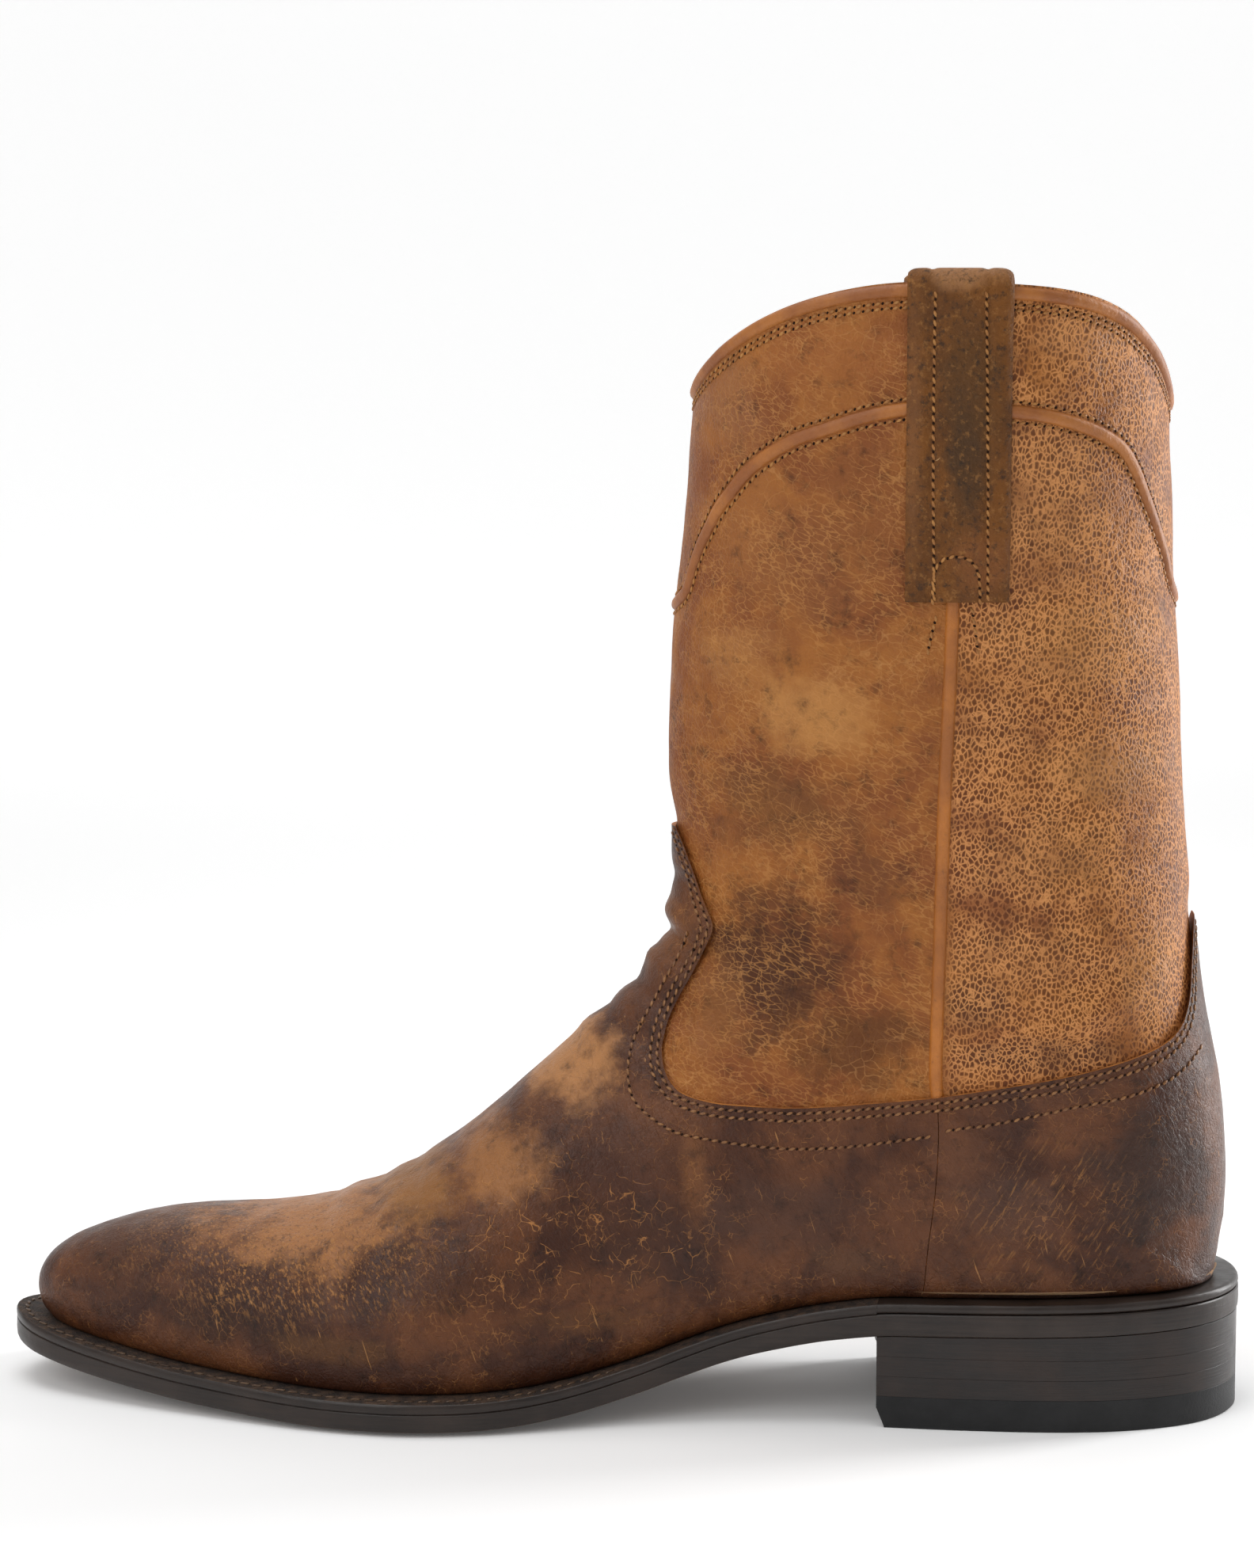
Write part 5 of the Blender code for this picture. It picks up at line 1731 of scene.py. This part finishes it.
def heel_rand(plan, finish):
    """The rand round the heel seat, its edge domed."""
    indices = range(TOE_STEPS, TOE_STEPS + 2 * HEEL_STEPS + 1)
    centre = (SOLE_TOP + WELT_TOP) / 2
    edges = []
    for turn in np.linspace(-math.pi / 2, math.pi / 2, RAND_STEPS):
        inset = RAND_DOME * (1 - math.cos(turn))
        edges.append((plan.sole_edge(inset), centre + (WELT_TOP - SOLE_TOP) / 2 * math.sin(turn)))
    return rim_band("domed_heel_rand", indices, edges, finish)


def heel_loop(plan, setback, inset):
    """Outline of the heel: round the back from breast to breast, then across the hollow breast face."""
    edge = plan.sole_edge(inset)[TOE_STEPS : TOE_STEPS + 2 * HEEL_STEPS + 1].copy()
    edge[0, 0] += setback
    edge[-1, 0] += setback
    loop = [tuple(point) for point in edge]
    for step in range(1, BREAST_STEPS):
        t = step / BREAST_STEPS
        hollow = BREAST_HOLLOW * math.sin(math.pi * t)
        x = edge[-1, 0] + (edge[0, 0] - edge[-1, 0]) * t + hollow
        loop.append((x, edge[-1, 1] + (edge[0, 1] - edge[-1, 1]) * t))
    return loop


def heel(plan, leather, rubber):
    """Rubber top lift and three leather lifts, pressed together so that only fine lines part them."""
    bevel = EDGE_ROUND / 2
    bevel_back = BREAST_SLANT * (1 - bevel / BREAST_SLANT_HEIGHT)
    full = heel_loop(plan, 0, HEEL_INSET)
    eased = heel_loop(plan, 0, HEEL_INSET + JOINT_EASE)
    loops = [
        raised(heel_loop(plan, BREAST_SLANT, HEEL_INSET + bevel), level(0.0)),
        raised(heel_loop(plan, bevel_back, HEEL_INSET), level(bevel)),
        raised(full, level(BREAST_SLANT_HEIGHT)),
        raised(full, level(TOP_LIFT_THICK - JOINT_EASE)),
        raised(eased, level(TOP_LIFT_THICK)),
    ]
    pieces = [layer("rubber_top_lift", loops, heel_cap, rubber)]
    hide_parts("top_lift")
    base = TOP_LIFT_THICK
    for node in ("heel_lift_lower", "heel_lift_middle", "heel_lift_upper"):
        high = base + LEATHER_LIFT_THICK + PIECE_GAP
        against_sole = node == "heel_lift_upper"
        loops = [
            raised(eased, level(base)),
            raised(full, level(base + JOINT_EASE)),
            raised(full, above_bottom(-JOINT_EASE) if against_sole else level(high - JOINT_EASE)),
            raised(eased, above_bottom(0) if against_sole else level(high)),
        ]
        lift = layer("stacked_" + node, loops, heel_cap, leather)
        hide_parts(node)
        pieces.append(lift)
        base = high
    return pieces


def welt_stitches(plan, thread):
    """The row of heavy stitches on the welt, from the waist round the toe and back."""
    count = len(plan.places)
    half = TOE_STEPS - WELT_ROW_SHORT
    run = [i % count for i in range(count - half, count + half + 1)]
    line = raised(plan.sole_edge(WELT_ROW_INSET)[run], above_bottom(WELT_TOP))
    lengths = step_lengths(line)
    at = np.arange(0, lengths[-1], WELT_PITCH)
    points = np.stack([np.interp(at, lengths, line[:, i]) for i in range(3)], axis=1)
    along = np.gradient(points, axis=0)
    along /= np.linalg.norm(along, axis=1)[:, None]
    normals = np.cross(np.cross(along, (0, 0, 1)), along)
    normals /= np.linalg.norm(normals, axis=1)[:, None]
    row = stitch_row(points, normals, along, WELT_PITCH * WELT_STITCH_SHARE, WELT_THREAD, STITCH_PROUD)
    return shown("welt_stitching", row, thread, STITCH_EDGE)


# Studio
def backdrop():
    """White paper: flat under the boot and curved up far behind it."""
    run = [(-PAPER_REACH, 0.0)]
    for turn in np.linspace(0, math.pi / 2, PAPER_BEND_POINTS):
        run.append((PAPER_REACH + PAPER_CURVE * math.sin(turn), PAPER_CURVE * (1 - math.cos(turn))))
    run.append((PAPER_REACH + PAPER_CURVE, PAPER_TOP))
    across = np.linspace(-PAPER_HALF_WIDTH, PAPER_HALF_WIDTH, PAPER_POINTS_ACROSS)
    builder = turned_outward(sheet_builder([[(x, y, z) for x in across] for y, z in run]))
    paper = shown("paper_backdrop", builder, studio_white("matt_white_paper", "#fbfbfb"))


def soft_light(name, place, aim, size, power):
    light = bpy.data.lights.new(name, "AREA")
    light.shape = "RECTANGLE"
    light.size, light.size_y = size
    light.energy = power
    lamp = bpy.data.objects.new(name, light)
    lamp.location = place
    lamp.rotation_euler = (Vector(aim) - Vector(place)).to_track_quat("-Z", "Y").to_euler()
    bpy.context.scene.collection.objects.link(lamp)


def lighting():
    """Soft white light all round, and the lamps."""
    world = bpy.data.worlds.new("studio")
    world.use_nodes = True
    sky = world.node_tree.nodes["Background"]
    sky.inputs["Color"].default_value = linear("#ffffff")
    sky.inputs["Strength"].default_value = WORLD_LIGHT
    bpy.context.scene.world = world
    for lamp in SOFTBOXES:
        soft_light(*lamp)


def photo_camera():
    lens = bpy.data.cameras.new("photo_camera")
    lens.sensor_width = SENSOR_WIDTH
    lens.lens = SENSOR_WIDTH * FOCAL_PIXELS / PHOTO_SIZE[1]
    viewer = bpy.data.objects.new("photo_camera", lens)
    turn = Matrix((camera.right, camera.up, -camera.forward)).transposed()
    viewer.matrix_world = Matrix.Translation(camera.place) @ turn.to_4x4()
    bpy.context.scene.collection.objects.link(viewer)
    bpy.context.scene.camera = viewer
    bpy.context.scene.view_settings.view_transform = "Standard"


def ride_all(pieces):
    for piece in pieces:
        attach(piece, "root")


def upper_pieces(shape):
    """Everything above the welt."""
    base, cover, vamp_outline, counter_outline = main_shapes(shape)
    tan_leather = band_leather("rubbed_tan_band_leather")
    tan_thread = waxed_thread("waxed_thread_tan", "#8a5726", "#ad783c")
    brown_thread = waxed_thread("waxed_thread_brown", "#6b4526", "#8e6238")
    skin = Skin(base, camera)
    cover_skin = Skin(cover[: OVERLAY_LAST_ROW + 1], camera)
    pieces = upper_and_overlays(base, cover, vamp_outline, counter_outline)
    binding, rim, up = collar_binding(skin, tan_leather)
    holes = []
    bands, rows = yoke(skin, tan_leather, holes)
    rows += collar_rows(skin, rim, up, holes)
    for tack in STRAP_TACKS_SEEN:
        rows += stitched(skin, skin.run(tack), FINE_PITCH, holes)
    seam = skin.run(SIDE_SEAM_SEEN[:PIPING_POINTS])
    pipings = [band(skin, line, PIPING_WIDE, PIPING_HIGH) for line in (seam, skin.other_side(seam))]
    piping = shown("side_piping", joined(pipings), piping_leather("dark_piping_leather"))
    fine = shown("fine_stitching", joined(rows), tan_thread, STITCH_EDGE)
    rows = overlay_rows(cover_skin, holes)
    heavy = shown("overlay_stitching", joined(rows), brown_thread, STITCH_EDGE)
    strap_leather = pressed_strap_leather("pressed_strap_leather")
    ride_all(pull_straps(skin, strap_leather, tan_thread, holes))
    # Dark marks of painted shade in the needle holes.
    hole_shade_marks = shown("needle_hole_shade", joined(holes), painted_hole_shade("painted_hole_shade"), STITCH_EDGE)
    ride_all([*pieces, binding, bands, piping, fine, heavy, hole_shade_marks])


def bottom_pieces():
    """Outsole, rand, welt and heel."""
    edge_finish = inked_edge_leather("inked_sole_edge_leather")
    sole = outsole(plan, edge_finish, sole_leather_face("smooth_sole_leather"))
    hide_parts("outsole")
    rand = heel_rand(plan, edge_finish)
    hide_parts("heel_rand")
    ride_all([sole, rand])
    strip = welt(plan, edge_finish, rough_welt_leather("rough_welt_leather"))
    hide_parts("welt")
    welt_row = welt_stitches(plan, waxed_thread("waxed_welt_thread", "#3d2c20", "#6a533f"))
    ride_all([strip, welt_row])
    lift_leather = stacked_heel_leather("inked_heel_leather")
    lifts = heel(plan, lift_leather, moulded_heel_rubber("moulded_heel_rubber"))
    ride_all(lifts[1:])
    ride_all(lifts[:1])


def centred(plan, shape):
    """Shifts plan and shape across, so that the sole lies where the frame's does."""
    low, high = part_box("outsole")
    own = plan.sole_edge(0)[:, 1]
    shift = (low[1] + high[1]) / 2 - (own.min() + own.max()) / 2
    plan.points[:, 1] += shift
    plan.base[:, 1] += shift
    return shape + np.array([0, shift, 0])


camera = Camera()
plan = Plan()
upper_pieces(centred(plan, upper_grid(plan)))
bottom_pieces()
bpy.data.objects["insole"].material_slots[0].material = calf_lining("insole_calf")
backdrop()
lighting()
photo_camera()
